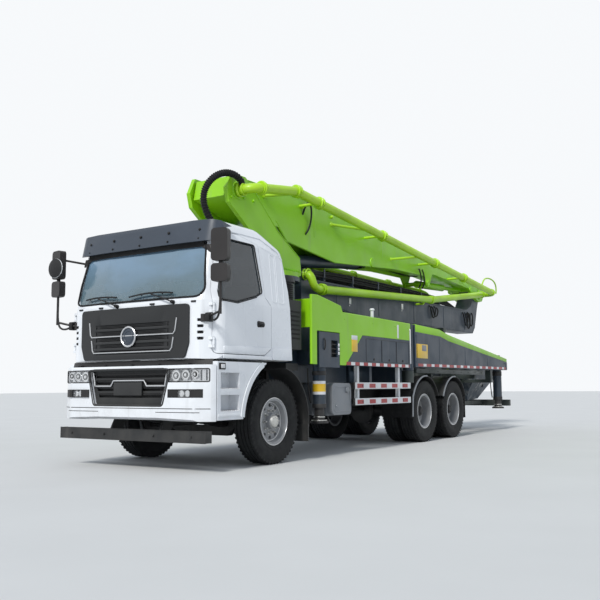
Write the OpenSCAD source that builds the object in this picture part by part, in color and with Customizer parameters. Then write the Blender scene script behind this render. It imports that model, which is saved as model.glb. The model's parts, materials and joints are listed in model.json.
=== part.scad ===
// Concrete pump truck: three-axle lorry with a folding placing boom.
// +Z is up, the cab looks towards -Y, the driver's side is +X.
// All y values below are measured from the front axle; datum_y moves the whole to its frame.

/* [Running gear] */
// Distance from the front axle to the first rear axle
wheelbase = 4640; // [4500:20:4800]
// Distance between the two rear axles
tandem = 1350; // [1300:10:1400]
// Tyre outer diameter
tyre_d = 1080; // [1060:10:1100]
// Tyre width
tyre_w = 290; // [270:5:300]
// Rim flange diameter
rim_d = 610; // [590:5:640]
// Half the track of the front wheels
front_half_track = 1035; // [1020:5:1045]
// Half the distance between the pairs of rear wheels
rear_half_track = 920; // [910:5:930]
// Centre distance of the two wheels of a pair
dual_gap = 325; // [310:5:335]

/* [Frame] */
// Half the width over the frame rails
rail_half_w = 430; // [410:5:440]
// Height of a frame rail
rail_h = 270; // [250:5:290]
// Flange width of a frame rail
rail_flange = 80; // [70:2:90]
// Thickness of the rail metal
rail_t = 10; // [8:1:12]
// Height of the rail's top above the axle centres
rail_lift = 500; // [490:5:510]

/* [Cab] */
// Thickness of the cab's walls and doors
cab_wall = 60; // [50:2:70]
// Lowest edge of the cab
cab_z = 1310; // [1305:1:1320]
// Height of the roof above the ground
roof_z = 3000; // [2960:10:3020]
// Gap round a door
door_gap = 8; // [7:1:12]
// Thickness of the panes
pane_t = 6; // [4:1:8]

/* [Deck and outriggers] */
// Half the width over the side panels and the outrigger arms
body_half_w = 1248; // [1245:1:1250]
// Thickness of the side panels
panel_t = 40; // [30:2:50]
// Lowest edge of the side panels
panel_z = 1290; // [1280:2:1300]
// Thickness of a rear outrigger arm
arm_t = 250; // [220:5:260]
// Width of a front outrigger beam
beam_w = 220; // [200:5:230]
// Height of a front outrigger beam
beam_h = 210; // [190:5:220]
// Running gap round the front outrigger beams
beam_gap = 6; // [5:1:10]
// Radius of the outriggers' lower legs
leg_r = 70; // [60:2:75]

/* [Boom] */
// Height of the pivot of the first boom section
pivot_z = 3740; // [3720:5:3760]
// Distance of that pivot behind the front axle
pivot_y = 250; // [230:5:270]
// Distance of the slewing axis behind the front axle
slew_y = 1530; // [1500:10:1560]
// Height of the slewing joint
slew_z = 2660; // [2640:5:2670]
// Outer diameter of the delivery pipe
pipe_d = 140; // [130:2:150]
// Width of the first boom section
boom_w = 560; // [520:10:580]
// Diameter of the boom's hinge pins
pin_d = 110; // [100:2:120]
// Running gap between neighbouring boom pieces
run_gap = 8; // [6:1:12]

/* [Hidden] */
$fn = 48;
// Gap between pieces that sit on each other
seat = 0.3;
// The cab is a little narrower than the body behind it
cab_half_w = body_half_w - 8;
axle_z = tyre_d / 2;
rail_z = axle_z + rail_lift - rail_h;
deck_z = rail_z + rail_h;
rear_y = [wheelbase, wheelbase + tandem];
front_y = -1480;
tip_y = 10520;
datum_y = -(front_y + tip_y) / 2;
SIDES = [-1, 1];
LIME = "#8fd12b";
SLATE = "#3c4654";
WHITE = "#eef0f0";
DARK = "#2d2f31";
BLACK = "#1c1d1e";
GREY = "#8a8f94";
STEEL = "#b9bcbe";

module from_axle() translate([0, datum_y, 0]) children();
module at_y(y) translate([0, y, 0]) children();

// An outline drawn in y and z, as deep as w, centred on x
module side_plate(w, x = 0) {
    translate([x - w / 2, 0, 0]) rotate([90, 0, 90]) linear_extrude(w) children();
}
// An outline drawn in x and z, from y0 to y1
module front_plate(y0, y1) {
    translate([0, y1, 0]) rotate([90, 0, 0]) linear_extrude(y1 - y0) children();
}
module rod_x(r, x0, x1, y, z) translate([x0, y, z]) rotate([0, 90, 0]) cylinder(r = r, h = x1 - x0);
module rod_z(r, x, y, z0, z1) translate([x, y, z0]) cylinder(r = r, h = z1 - z0);
module rod_y(r, x, y0, y1, z) translate([x, y0, z]) rotate([-90, 0, 0]) cylinder(r = r, h = y1 - y0);
module block(x, y, z) translate([x[0], y[0], z[0]]) cube([x[1] - x[0], y[1] - y[0], z[1] - z[0]]);
// A round bar from point a to point b
module bar(a, b, r) {
    d = b - a;
    translate(a) rotate([0, acos(d[2] / norm(d)), atan2(d[1], d[0])]) cylinder(r = r, h = norm(d));
}
// A rectangle with round corners, from low to high
module soft_rect(low, high, r) {
    size = high - low - [2 * r, 2 * r];
    translate(low + [r, r]) offset(r = r, $fn = 24) square(size);
}
module round_outline(r) offset(r = r, $fn = 24) offset(delta = -r) children();

// Frame and running gear
module rail(side, y0, y1) {
    translate([side * rail_half_w, y0, rail_z]) mirror([side > 0 ? 1 : 0, 0, 0])
        rotate([90, 0, 180]) mirror([1, 0, 0]) linear_extrude(y1 - y0)
            difference() {
                square([rail_flange, rail_h]);
                translate([rail_t, rail_t]) square([rail_flange, rail_h - 2 * rail_t]);
            }
}
rail_end = rear_y[1] + 1450;
cab_pin = [-1300, 1000];
cab_pin_r = 22;
CROSS_Y = [-1080, 1500, 2700, wheelbase - 450, wheelbase + tandem / 2, rail_end - 700];
module frame_rails() color(DARK) from_axle() {
    for (s = SIDES) rail(s, -1150, rail_end);
    for (y = CROSS_Y) block([rail_t - rail_half_w, rail_half_w - rail_t], [y - 60, y + 60], [rail_z + 60,
        rail_z + rail_h - 60]);
    // Cross bar behind the bumper: it carries the bumper and the step panels
    block([seat - step_x, step_x - seat], [-1150, -1080], [860, 940]);
    for (s = SIDES) intersection() {
        translate([0, 0, 860]) linear_extrude(80) bumper_plan(-45 - seat);
        block([s * 635 - 14, s * 635 + 14], [-1600, -1100], [860, 940]);
    }
    // Cab mounts: hinge pins in front, rests behind
    for (s = SIDES) {
        side_plate(30, s * (rail_half_w - 15)) polygon([[-1150, 800], [-1150, 1040], [-1250, 1050], [-1345,
            1030], [-1345, 960], [-1250, 900]]);
        rod_x(cab_pin_r, s * 350 - 80, s * 350 + 80, cab_pin[0], cab_pin[1]);
        block([s * 390 - 40, s * 390 + 40], [140, 240], [deck_z - 10, cab_z - seat]);
    }
    // Front underrun bar on its two brackets
    block([-1200, 1200], [front_y + 40, front_y + 150], [350, 480]);
    for (s = SIDES) side_plate(20, s * (rail_half_w - 20))
        polygon([[front_y + 150, 350], [front_y + 260, 350], [-900, rail_z + 40], [-1150, rail_z + 40],
            [front_y + 150, 480]]);
}

kingpin_x = 820;
kingpin_r = 25;
beam_drop = 60;
module front_axle() color(BLACK) from_axle() {
    // I-section beam, dropped between the kingpins
    front_plate(-55, 55) polygon([[-kingpin_x, axle_z + 70], [-kingpin_x, axle_z - 70], [-560,
        axle_z - 80], [-430, axle_z - 200],
        [430, axle_z - 200], [560, axle_z - 80], [kingpin_x, axle_z - 70], [kingpin_x, axle_z + 70], [560,
            axle_z + 50],
        [380, axle_z - 70], [-380, axle_z - 70], [-560, axle_z + 50]]);
    for (s = SIDES) {
        rod_z(55, s * kingpin_x, 0, axle_z - 70, axle_z + 70);
        rod_z(kingpin_r, s * kingpin_x, 0, axle_z - 112, axle_z + 112);
    }
    // Leaf springs over the beam, with their clamps
    for (s = SIDES) {
        for (leaf = [0:2]) side_plate(80, s * 390)
            polygon([[leaf * 200 - 800, axle_z + 30 - leaf * 25], [800 - leaf * 200, axle_z + 30 - leaf * 25],
                [500 - leaf * 130, axle_z - 30 - leaf * 25], [-500 + leaf * 130, axle_z - 30 - leaf * 25]]);
        for (e = [-770, 770]) block([s * 390 - 35, s * 390 + 35], [e - 40, e + 40], [axle_z + 10, rail_z]);
    }
}

module rear_axles() color(BLACK) from_axle() {
    for (y = rear_y) at_y(y) {
        rod_x(105, -560, 560, 0, axle_z);
        rod_x(70, -rear_half_track + 40, rear_half_track - 40, 0, axle_z);
        rod_x(59.95, -rear_half_track - 25, rear_half_track + 25, 0, axle_z);
        // Differential housing and its cover
        translate([0, 0, axle_z]) rotate([90, 0, 0]) cylinder(r = 235, h = 260, center = true);
        translate([0, 130, axle_z]) rotate([-90, 0, 0]) cylinder(r1 = 235, r2 = 90, h = 110);
    }
    // Trunnion springs between the axles
    for (s = SIDES) {
        for (leaf = [0:3]) side_plate(90, s * 500)
            polygon([[rear_y[0] - 60 + leaf * 110, axle_z + 130 + leaf * 30], [rear_y[1] + 60 - leaf * 110,
                axle_z + 130 + leaf * 30],
                [rear_y[1] + 60 - leaf * 110, axle_z + 160 + leaf * 30], [rear_y[0] - 60 + leaf * 110,
                    axle_z + 160 + leaf * 30]]);
        for (y = rear_y) block([s * 500 - 40, s * 500 + 40], [y - 50, y + 50], [axle_z + 60, axle_z + 140]);
        side_plate(60, s * 500) polygon([[wheelbase + tandem / 2 - 130, rail_z + 80],
            [wheelbase + tandem / 2 + 130, rail_z + 80],
            [wheelbase + tandem / 2 + 60, axle_z + 200], [wheelbase + tandem / 2 - 60, axle_z + 200]]);
        block([min(s * (rail_half_w + seat), s * 500), max(s * (rail_half_w + seat), s * 500)],
            [wheelbase + tandem / 2 - 60, wheelbase + tandem / 2 + 60], [rail_z + 60, rail_z + 120]);
    }
    // Propeller shafts
    bar([0, engine_y[1] + 706, 765], [0, rear_y[0] - 100, axle_z + 40], 50);
    bar([0, rear_y[0] + 120, axle_z + 30], [0, rear_y[1] - 120, axle_z + 30], 50);
}

engine_y = [-650, 620];
module engine() color(GREY) from_axle() {
    block([-320, 320], engine_y, [640, 1240]);
    // Gearbox behind it
    translate([0, engine_y[1], 780]) rotate([-90, 0, 0]) cylinder(r1 = 230, r2 = 150, h = 700);
    // Mounts on the rails
    for (s = SIDES, y = [-500, 450]) block([s > 0 ? 300 : -rail_half_w + rail_t,
        s > 0 ? rail_half_w - rail_t : -300], [y - 50, y + 50], [rail_z + 60, rail_z + 140]);
}

// Wheels: one revolve for a tyre, one for a rim
bead_w = tyre_w * 0.36;
module tyre_at(x) {
    r = tyre_d / 2;
    s = rim_d / 2 - 25;
    w = tyre_w / 2;
    translate([x, 0, 0]) rotate([0, 90, 0]) rotate_extrude($fn = 72)
        polygon([[s, -bead_w + 8.4], [rim_d / 2 + 2, -bead_w - 3.4], [s + 60, -w * 0.9], [s + 120, -w],
            [r - 75, -w * 0.98], [r - 18, -w * 0.86], [r, -w * 0.72],
            [r, w * 0.72], [r - 18, w * 0.86], [r - 75, w * 0.98], [s + 120, w], [s + 60, w * 0.9],
                [rim_d / 2 + 2, bead_w + 3.4], [s, bead_w - 8.4]]);
}
// Rim whose disc lies at the given offset towards +X
module rim_at(x, dish, face) {
    R = rim_d / 2;
    w = bead_w;
    base = rim_d / 2 - 25.3;
    translate([x, 0, 0]) rotate([0, 90, 0]) difference() {
        rotate_extrude($fn = 72) polygon([[base - 14, -w - 4], [R, -w - 12], [R, -w - 4], [base, -w + 8],
            [base, w - 8], [R, w + 4],
            [R, w + 12], [base - 14, w + 4], [base - 30, face + 20], [150, dish + 12], [60, dish + 12],
                [60, dish - 4],
            [150, dish - 4], [base - 40, face], [base - 14, -w + 20]]);
        for (k = [0:9]) rotate([0, 0, k * 36]) translate([205, 0, (dish + face) / 2]) cylinder(r = 25,
            h = 160, center = true, $fn = 24);
    }
}
module hub(x0, x1, r) translate([x0, 0, 0]) rotate([0, 90, 0]) cylinder(r1 = r, r2 = r * 0.82, h = x1 - x0);

module front_tyre(s) color(BLACK) from_axle() translate([s * front_half_track, 0, axle_z]) tyre_at(0);
module front_rim(s) color(STEEL) from_axle() translate([s * front_half_track, 0, axle_z])
    mirror([s < 0 ? 1 : 0, 0, 0]) difference() {
    union() {
        rim_at(0, 40, 20);
        hub(-60, 105, 118);
        for (k = [0:9]) rotate([k * 36 + 18, 0, 0]) translate([50, 0, 140]) rotate([0, 90, 0])
            cylinder(r = 14, h = 30, $fn = 6);
    }
    rod_x(spindle_r + 0.05, -100, 40, 0, 0);
}
module rear_tyres(s, y) color(BLACK) from_axle() translate([s * rear_half_track, y, axle_z])
    for (d = SIDES) tyre_at(d * dual_gap / 2);
module rear_rims(s, y) color(STEEL) from_axle() translate([s * rear_half_track, y, axle_z])
    mirror([s < 0 ? 1 : 0, 0, 0]) {
    rim_at(dual_gap / 2, -dual_gap / 2 + 4, -60);
    mirror([1, 0, 0]) rim_at(dual_gap / 2, -dual_gap / 2 + 4, -60);
    difference() {
        hub(2, 130, 110);
        rod_x(60, -50, 32, 0, 0);
    }
    for (k = [0:9]) rotate([k * 36 + 18, 0, 0]) translate([-2, 0, 140]) rotate([0, 90, 0])
        cylinder(r = 14, h = 40, $fn = 6);
}

// Steering knuckles: yoke round the axle's end, stub and brake drum
spindle_r = 45;
module knuckle(s) color(BLACK) from_axle() translate([0, 0, axle_z]) mirror([s < 0 ? 1 : 0, 0, 0])
    difference() {
    union() {
        for (z = [-110, 76]) {
            block([kingpin_x, kingpin_x + 112], [-60, 60], [z, z + 34]);
            rod_z(60, kingpin_x, 0, z, z + 34);
        }
        block([kingpin_x + 75, kingpin_x + 112], [-70, 70], [-110, 110]);
        rod_x(spindle_r, kingpin_x + 100, front_half_track + 30, 0, 0);
        rod_x(205, kingpin_x + 110, front_half_track - 65, 0, 0);
        // Track arm
        block([kingpin_x - 80, kingpin_x + 10], [40, 200], [-110, -76]);
    }
    rod_z(kingpin_r + 0.05, kingpin_x, 0, -200, 200);
}

// Cab: three outlines meet to give its body, and a smaller one gives its inside
ws_foot = [-1400, 2000];
ws_lean = 13;
arch_r = tyre_d / 2 + 245;
module cab_side_outline() round_outline(60) polygon([[-1400, cab_z], [-1414, 1560], ws_foot,
    [ws_foot[0] + 215, roof_z - 70], [-1080, roof_z],
    [-300, roof_z], [110, roof_z - 220], [225, 2230], [290, cab_z]]);
module cab_front_outline() round_outline(70) polygon([[-cab_half_w, cab_z], [-cab_half_w, 2000],
    [70 - cab_half_w, roof_z - 250], [170 - cab_half_w, roof_z],
    [cab_half_w - 170, roof_z], [cab_half_w - 70, roof_z - 250], [cab_half_w, 2000], [cab_half_w, cab_z]]);
module cab_plan_outline() round_outline(110) polygon([[-cab_half_w, 400], [-cab_half_w, -1180],
    [190 - cab_half_w, -1360], [-500, -1408], [500, -1408],
    [cab_half_w - 190, -1360], [cab_half_w, -1180], [cab_half_w, 400]]);
module cab_solid(grow) intersection() {
    side_plate(3000) offset(delta = grow) cab_side_outline();
    front_plate(-2000, 800) offset(delta = grow) cab_front_outline();
    union() {
        translate([0, 0, cab_z - 200]) linear_extrude(ws_foot[1] - cab_z + 200) offset(delta = grow)
            cab_plan_outline();
        translate([0, 0, ws_foot[1]]) leaned() linear_extrude(1400) offset(delta = grow) cab_plan_outline();
    }
}
// Leans the upper prism back with the windscreen, from a little below its foot
module leaned() intersection() {
    translate([-2000, -2500, -0.01]) cube([4000, 4000, 2000]);
    translate([0, ws_foot[0], 0]) rotate([-ws_lean, 0, 0]) translate([0, -ws_foot[0], -400]) children();
}
module cab_skin(out, in) difference() {
    cab_solid(out);
    cab_solid(in);
}
door_y = [-1262, -195];
module door_outline() round_outline(50) polygon([[door_y[0], cab_z + 64], [door_y[0], 2120],
    [door_y[0] + 140, roof_z - 150], [door_y[1] - 210, roof_z - 150],
    [door_y[1] - 120, 2100], [door_y[1], 2000], [door_y[1], cab_z + 150], [door_y[1] - 150, cab_z + 64]]);
module door_window_outline() round_outline(45) polygon([[-1205, 2010], [-1203, 2150], [-1108,
    roof_z - 360], [-1050, roof_z - 240],
    [-470, roof_z - 240], [-370, 2160], [-480, 2110], [-900, 2000]]);
module side_cut(s) side_plate(400, s * (cab_half_w - 50)) children();
module windscreen_outline() round_outline(130) polygon([[155 - cab_half_w, 2040], [265 - cab_half_w,
    roof_z - 140], [cab_half_w - 265, roof_z - 140], [cab_half_w - 155, 2040]]);
module windscreen_zone(gap) front_plate(-1700, -900) offset(delta = -gap) windscreen_outline();

// Door hinges: axis, heights, barrel and pin radius
hinge_at = [cab_half_w - 68, door_y[0] - 4];
hinge_r = 16;
hinge_pin_r = 8;
HINGE_Z = [1500, 1900];
module cab_shell() color(WHITE) from_axle() {
    difference() {
        cab_skin(0, -cab_wall);
        for (s = SIDES) side_cut(s) offset(delta = door_gap) door_outline();
        windscreen_zone(0);
        // Side louvres beside the grille
        for (s = SIDES, k = [0:3]) mirror([s < 0 ? 1 : 0, 0, 0])
            block([cab_half_w - 240, cab_half_w - 130], [-1500, -1330], [1530 + k * 72, 1565 + k * 72]);
    }
    // Arms down to the cab's tilting pins
    for (s = SIDES) difference() {
        translate([0, cab_pin[0], cab_pin[1]]) side_plate(50, s * 310)
            polygon([[-45, -10], [-20, -42], [45, -42], [290, 60], [340, cab_z + 10 - cab_pin[1]], [235,
                cab_z + 10 - cab_pin[1]], [225, 110], [10, 45], [-30, 35]]);
        rod_x(cab_pin_r + 0.05, -500, 500, cab_pin[0], cab_pin[1]);
    }
    for (s = SIDES, z = HINGE_Z) mirror([s < 0 ? 1 : 0, 0, 0]) {
        rod_z(hinge_pin_r, hinge_at[0], hinge_at[1], z - 60, z + 60);
        for (d = [-62, 32]) {
            rod_z(hinge_r, hinge_at[0], hinge_at[1], z + d, z + d + 30);
            block([hinge_at[0] - 70, hinge_at[0]], [hinge_at[1] - 30, hinge_at[1] - 6], [z + d, z + d + 30]);
        }
    }
}
module cab_glass() color("#9fb4c0") from_axle() intersection() {
    cab_skin(-18, -18 - pane_t);
    windscreen_zone(seat);
}
module door(s) color(WHITE) from_axle() difference() {
    union() {
        difference() {
            intersection() {
                cab_skin(0, -cab_wall);
                side_cut(s) door_outline();
            }
            for (z = HINGE_Z) rod_z(hinge_r + 5, s * hinge_at[0], hinge_at[1], z - 68, z + 68);
        }
        for (z = HINGE_Z) mirror([s < 0 ? 1 : 0, 0, 0]) {
            rod_z(hinge_r, hinge_at[0], hinge_at[1], z - 30, z + 30);
            block([hinge_at[0] - 30, hinge_at[0] + 10], [hinge_at[1] + 5, hinge_at[1] + 24], [z - 30,
                z + 30]);
        }
    }
    side_cut(s) door_window_outline();
    rod_z(hinge_pin_r + 0.05, s * hinge_at[0], hinge_at[1], 1000, 2200);
}
module door_pane(s) color("#9fb4c0") from_axle() intersection() {
    cab_skin(-18, -18 - pane_t);
    side_cut(s) offset(delta = -seat) door_window_outline();
}
floor_z = cab_z + cab_wall;
wheel_hub = [560, -860, 2010];
module cab_interior() color(DARK) from_axle() {
    // Dashboard across the cab
    side_plate(2 * (cab_half_w - 195)) polygon([[-1255, floor_z + seat], [-1255, 1930], [-1180, 1990],
        [-960, 1960], [-900, 1850], [-960, 1560], [-1080, floor_z + seat]]);
    // Seats: base, cushion, backrest and headrest
    for (x = [-650, 650]) {
        block([x - 180, x + 180], [-640, -240], [floor_z + seat, 1600]);
        side_plate(520, x) round_outline(40) polygon([[-760, 1590], [-760, 1730], [-230, 1700], [-60,
            2330], [40, 2330], [-120, 1590]]);
        side_plate(280, x) round_outline(30) polygon([[-80, 2320], [-40, 2560], [40, 2560], [50, 2320]]);
    }
    // Steering wheel on its column
    bar([wheel_hub[0], -1000, 1800], wheel_hub, 35);
    translate(wheel_hub) rotate([35, 0, 0]) {
        rotate_extrude($fn = 36) translate([215, 0]) circle(r = 16, $fn = 16);
        cylinder(r = 50, h = 50, center = true);
        for (a = [80, 200, 320]) rotate([0, 0, a]) translate([20, -17, -7]) cube([190, 34, 13]);
    }
}
module sun_visor() color(DARK) from_axle() intersection() {
    cab_skin(75, seat);
    side_plate(2800) polygon([[-1700, roof_z - 320], [-1200, roof_z - 280], [-1160, roof_z - 136], [-760,
        roof_z - 30], [-760, roof_z + 75], [-1700, roof_z + 75]]);
    front_plate(-1700, 0) polygon([[-1400, roof_z - 350], [1400, roof_z - 350], [1400, roof_z + 20],
        [-1400, roof_z + 20]]);
}
grille_x = cab_half_w - 340;
module grille_outline() round_outline(50)
    polygon([[60 - grille_x, cab_z + 12], [-grille_x, 1500], [-grille_x, 1960], [grille_x, 1960],
        [grille_x, 1500], [grille_x - 60, cab_z + 12]]);
module grille() color(DARK) from_axle() difference() {
    intersection() {
        cab_skin(28, seat);
        front_plate(-1700, -1200) grille_outline();
    }
    // Two tray-shaped recesses with bars left across them
    intersection() {
        union() for (k = [0:4]) block([-grille_x, grille_x], [-1700, -1422], [1390 + k * 80, 1440 + k * 80]);
        front_plate(-1700, -1200)
            polygon([[260 - grille_x, 1380], [grille_x - 260, 1380], [grille_x - 200, 1800],
                [200 - grille_x, 1800]]);
    }
}
bumper_top = cab_z - 70;
module bumper_plan(grow) offset(delta = grow) round_outline(120)
    polygon([[-cab_half_w, -1285], [-cab_half_w, -1330], [220 - cab_half_w, front_y + 30], [-500, front_y],
        [500, front_y],
        [cab_half_w - 220, front_y + 30], [cab_half_w, -1330], [cab_half_w, -1285], [cab_half_w, -900],
            [-cab_half_w, -900]]);
// Columns of LAMPS: inner x, outer x, low z, high z
LAMPS = [[cab_half_w - 600, cab_half_w - 50, 1045, 1195], [cab_half_w - 580, cab_half_w - 120, 865, 955]];
module lamp_zone(grow, y1) for (s = SIDES, l = LAMPS)
    mirror([s < 0 ? 1 : 0, 0, 0]) front_plate(-1800, y1) soft_rect([l[0] - grow, l[2] - grow],
        [l[1] + grow, l[3] + grow], 20);
// Opening of the bumper between the heights low and high
module lower_grille_outline(low, high) {
    foot = cab_half_w - 680;
    head = cab_half_w - 560;
    polygon([[-foot, low], [-head, high], [head, high], [foot, low]]);
}
module lower_panels() color(WHITE) from_axle() {
    bumper();
    cab_steps();
}
module bumper() difference() {
    intersection() {
        translate([0, 0, 590]) linear_extrude(bumper_top - 590) bumper_plan(0);
        block([-1300, 1300], [-1600, -1290], [500, 1400]);
        side_plate(2600) polygon([[front_y - 20, 640], [front_y + 60, 590], [-1200, 590], [-1200,
            bumper_top], [front_y + 40, bumper_top], [front_y - 20, 1180]]);
    }
    translate([0, 0, 560]) linear_extrude(bumper_top - 560 - 30) bumper_plan(-45);
    lamp_zone(0, -1200);
    front_plate(-1700, -1200) round_outline(40) lower_grille_outline(770, 1190);
}
module lower_grille() color(DARK) from_axle() difference() {
    intersection() {
        translate([0, 0, 700]) linear_extrude(560) difference() {
            bumper_plan(-45 - seat);
            bumper_plan(-75);
        }
        front_plate(-1700, -1200) offset(delta = 12) lower_grille_outline(780, 1180);
    }
    for (k = [0:3]) {
        slot_x = cab_half_w - 720 + k * 30;
        front_plate(-1700, -1200)
            polygon([[-slot_x, 860 + k * 80], [-slot_x - 10, 900 + k * 80], [slot_x + 10, 900 + k * 80],
                [slot_x, 860 + k * 80]]);
    }
}
module lamps() color("#d9e2e6") from_axle() {
    intersection() {
        translate([0, 0, 800]) linear_extrude(500) difference() {
            bumper_plan(-6);
            bumper_plan(-44);
        }
        lamp_zone(-seat, -1250);
    }
}
step_z = [600, cab_z - 30];
step_w = 230;
step_x = cab_half_w - step_w;
module cab_steps() for (s = SIDES) difference() {
    side_plate(step_w, s * (cab_half_w - step_w / 2)) polygon([[-1275, step_z[0]], [-1275, step_z[1]],
        [-300, step_z[1]], [-300, step_z[0]]]);
    rod_x(arch_r, -1400, 1400, 0, axle_z);
    for (z = [700, 960]) block([s > 0 ? step_x + 70 : -1400, s > 0 ? 1400 : -step_x - 70], [-1215, -860],
        [z, z + 190]);
}
MIRRORS = [[2420, 2800], [2180, 2390]]; // columns: low z, high z
// Where the mirror's two arms leave the corner of the cab: how far in and forward, and how high
pad_gap = 1.5;
ARM_FEET = [[127, -1330, 1785], [136, -1195, 2630]];
module mirrors() color(DARK) from_axle() for (s = SIDES) mirror([s < 0 ? 1 : 0, 0, 0]) {
    x = cab_half_w + 135;
    for (m = MIRRORS) translate([x, -1400, 0]) rotate([0, 0, 12]) front_plate(-45, 45) soft_rect([-105,
        m[0]], [105, m[1]], 45);
    for (f = ARM_FEET) {
        intersection() {
            cab_skin(24, pad_gap);
            block([900, 1300], [f[1] - 25, f[1] + 25], [f[2] - 45, f[2] + 45]);
        }
        bar([cab_half_w - f[0], f[1], f[2]], [x, -1400, f[2] + 60], 14);
    }
    bar([x, -1400, ARM_FEET[0][2] + 25], [x, -1400, 2760], 16);
}

// Behind the cab: air intake on the driver's side, silencer on the other
module intake_stack() color(BLACK) from_axle() {
    block([820, 1160], [330, 640], [1480, 2150]);
    translate([990, 485, 2140]) cylinder(r = 110, h = 260);
    translate([990, 485, 2400]) cylinder(r1 = 150, r2 = 120, h = 90);
    bar([990, 485, 1500], [700, 485, 1300], 90);
    block([500, 1050], [420, 720], [1200, 1300]);
    block([rail_half_w + seat, 560], [660, 720], [deck_z - 60, 1300]);
    // Silencer and its tail pipe
    rod_y(190, -770, 800, 1350, 800);
    rod_z(60, -770, 730, 740, 2300);
    rod_y(60, -770, 730, 820, 800);
    block([-760, -rail_half_w - seat], [1000, 1080], [rail_z + 60, rail_z + 140]);
}

// Bent sheet round a wheel from angle a0 to a1, joined with the outlines given to it
module arch_band(x, w, r, t, a0, a1) translate([x, 0, axle_z]) side_plate(w) union() {
    intersection() {
        difference() {
            circle(r = r + t, $fn = 72);
            circle(r = r, $fn = 72);
        }
        polygon([[0, 0], for (a = [a0, (a0 + a1) / 2, a1]) 2 * r * [cos(a), sin(a)]]);
    }
    children();
}
arch_in = tyre_d / 2 + 150;
REAR_ARCH = [rear_half_track - (tyre_w + dual_gap) / 2 - 10, body_half_w - 10]; // inner x, outer x
module mudguards() color(BLACK) from_axle() for (s = SIDES) mirror([s < 0 ? 1 : 0, 0, 0]) {
    // Rear half of the front arch, with its flap and its arm to the frame
    arch_band(cab_half_w - 190, 380, arch_in, 14, -8, 78) translate([arch_in - 20, -290]) square([20, 230]);
    block([rail_half_w + seat, cab_half_w - 370], [600, 650], [rail_z + 60, rail_z + 110]);
    // Arches of the rear wheels on arms from the frame
    for (y = rear_y) {
        at_y(y) arch_band((REAR_ARCH[0] + REAR_ARCH[1]) / 2, REAR_ARCH[1] - REAR_ARCH[0], tyre_d / 2 + 75,
            12, 25, 155);
        block([rail_half_w + seat, rail_half_w + 50], [y - 20, y + 20], [deck_z - 60,
            axle_z + tyre_d / 2 + 80]);
        block([rail_half_w + seat, rear_half_track], [y - 20, y + 20], [axle_z + tyre_d / 2 + 20,
            axle_z + tyre_d / 2 + 80]);
    }
}

// Pedestal: welded box that carries the slewing ring and guides the front outriggers
ped_y = [slew_y - 520, slew_y + 1080];
beam_angle = 20;
beam_len = 2340;
jack_at = [body_half_w - 128, 1165];
BEAMS = [[1, panel_z + 10], [-1, panel_z + 30 + beam_h]]; // columns: side, low z of the beam
module beam_frame(s, z) mirror([s < 0 ? 1 : 0, 0, 0]) translate([jack_at[0], jack_at[1], z]) rotate([0, 0,
    90 + 90 - beam_angle]) children();
module beam_tunnel(grow) for (b = BEAMS) beam_frame(b[0], b[1])
    translate([-500, -beam_w / 2 - grow, -grow]) cube([beam_len + 1000, beam_w + 2 * grow,
        beam_h + 2 * grow]);
module pedestal() color(SLATE) from_axle() {
    difference() {
        side_plate(1500) polygon([[ped_y[0], deck_z], [ped_y[0], 1800], [ped_y[0] + 150, 1900],
            [ped_y[1] - 200, 1900], [ped_y[1], 1780], [ped_y[1], deck_z]]);
        beam_tunnel(beam_gap);
        // Hollow inside, open below
        block([-700, 700], [ped_y[0] + 60, ped_y[1] - 60], [deck_z - 1, panel_z - 40]);
    }
    // Column up to the slewing ring
    translate([0, slew_y, 1890]) cylinder(r1 = 520, r2 = 400, h = 300);
    translate([0, slew_y, 2180]) cylinder(r = 400, h = slew_z - 60 - 2180);
    translate([0, slew_y, slew_z - 70]) cylinder(r = 480, h = 70);
}

// Side panels: lime wing above, slate boxes below
// Both end at panel_y, ahead of the rear arm's post; the boundary between them runs up to seam
panel_y = wheelbase - 640;
seam = [[1720, panel_z], [2250, 1760]];
WING = [[780, panel_z], [780, 2250], [950, 2250], [1590, 2150], [1640, 2060], [panel_y, 2040], [panel_y,
    seam[1][1]],
    seam[1], seam[0]];
module panel(s, x = 0) side_plate(panel_t, s * (body_half_w - panel_t / 2 - x)) children();
module side_wings() color(LIME) from_axle() for (s = SIDES) {
    difference() {
        panel(s) polygon(WING);
        panel(s, -1) soft_rect([cover_y[0] - 60, panel_z - 60], [cover_y[1] + 8, 1760], 6);
        panel(s, 1) soft_rect([cover_y[0] - 60, panel_z - 60], [cover_y[1] + 8, 1760], 6);
    }
    // Front edge turned inwards
    block([min(s * 900, s * (body_half_w - panel_t)), max(s * 900, s * (body_half_w - panel_t))], [780,
        800], [1800, 2200]);
    // Top edge turned inwards
    block([min(s * 1080, s * (body_half_w - panel_t)), max(s * 1080, s * (body_half_w - panel_t))], [1640,
        panel_y], [2020, 2040]);
}
module side_boxes() color(SLATE) from_axle() {
    for (s = SIDES) {
        panel(s) polygon([seam[0] + [1, 0], seam[1] + [1, -seat], [panel_y, seam[1][1] - seat], [panel_y,
            panel_z]]);
        // Boxes behind the panel, on the deck's edge
        block([s > 0 ? 760 : -body_half_w + panel_t, s > 0 ? body_half_w - panel_t : -760], [ped_y[1] + 10,
            panel_y - 10], [1320, 1740]);
        // Bracket to the frame
        for (y = [ped_y[1] + 170, panel_y - 100]) mirror([s < 0 ? 1 : 0, 0, 0])
            block([rail_half_w - 20, body_half_w - 148], [y - 40, y + 40], [deck_z, deck_z + 290]);
    }
    // Deck plate between the boxes
    block([seat - 760, 760 - seat], [ped_y[1] + 10, panel_y + 300], [1700, 1740]);
}
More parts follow.
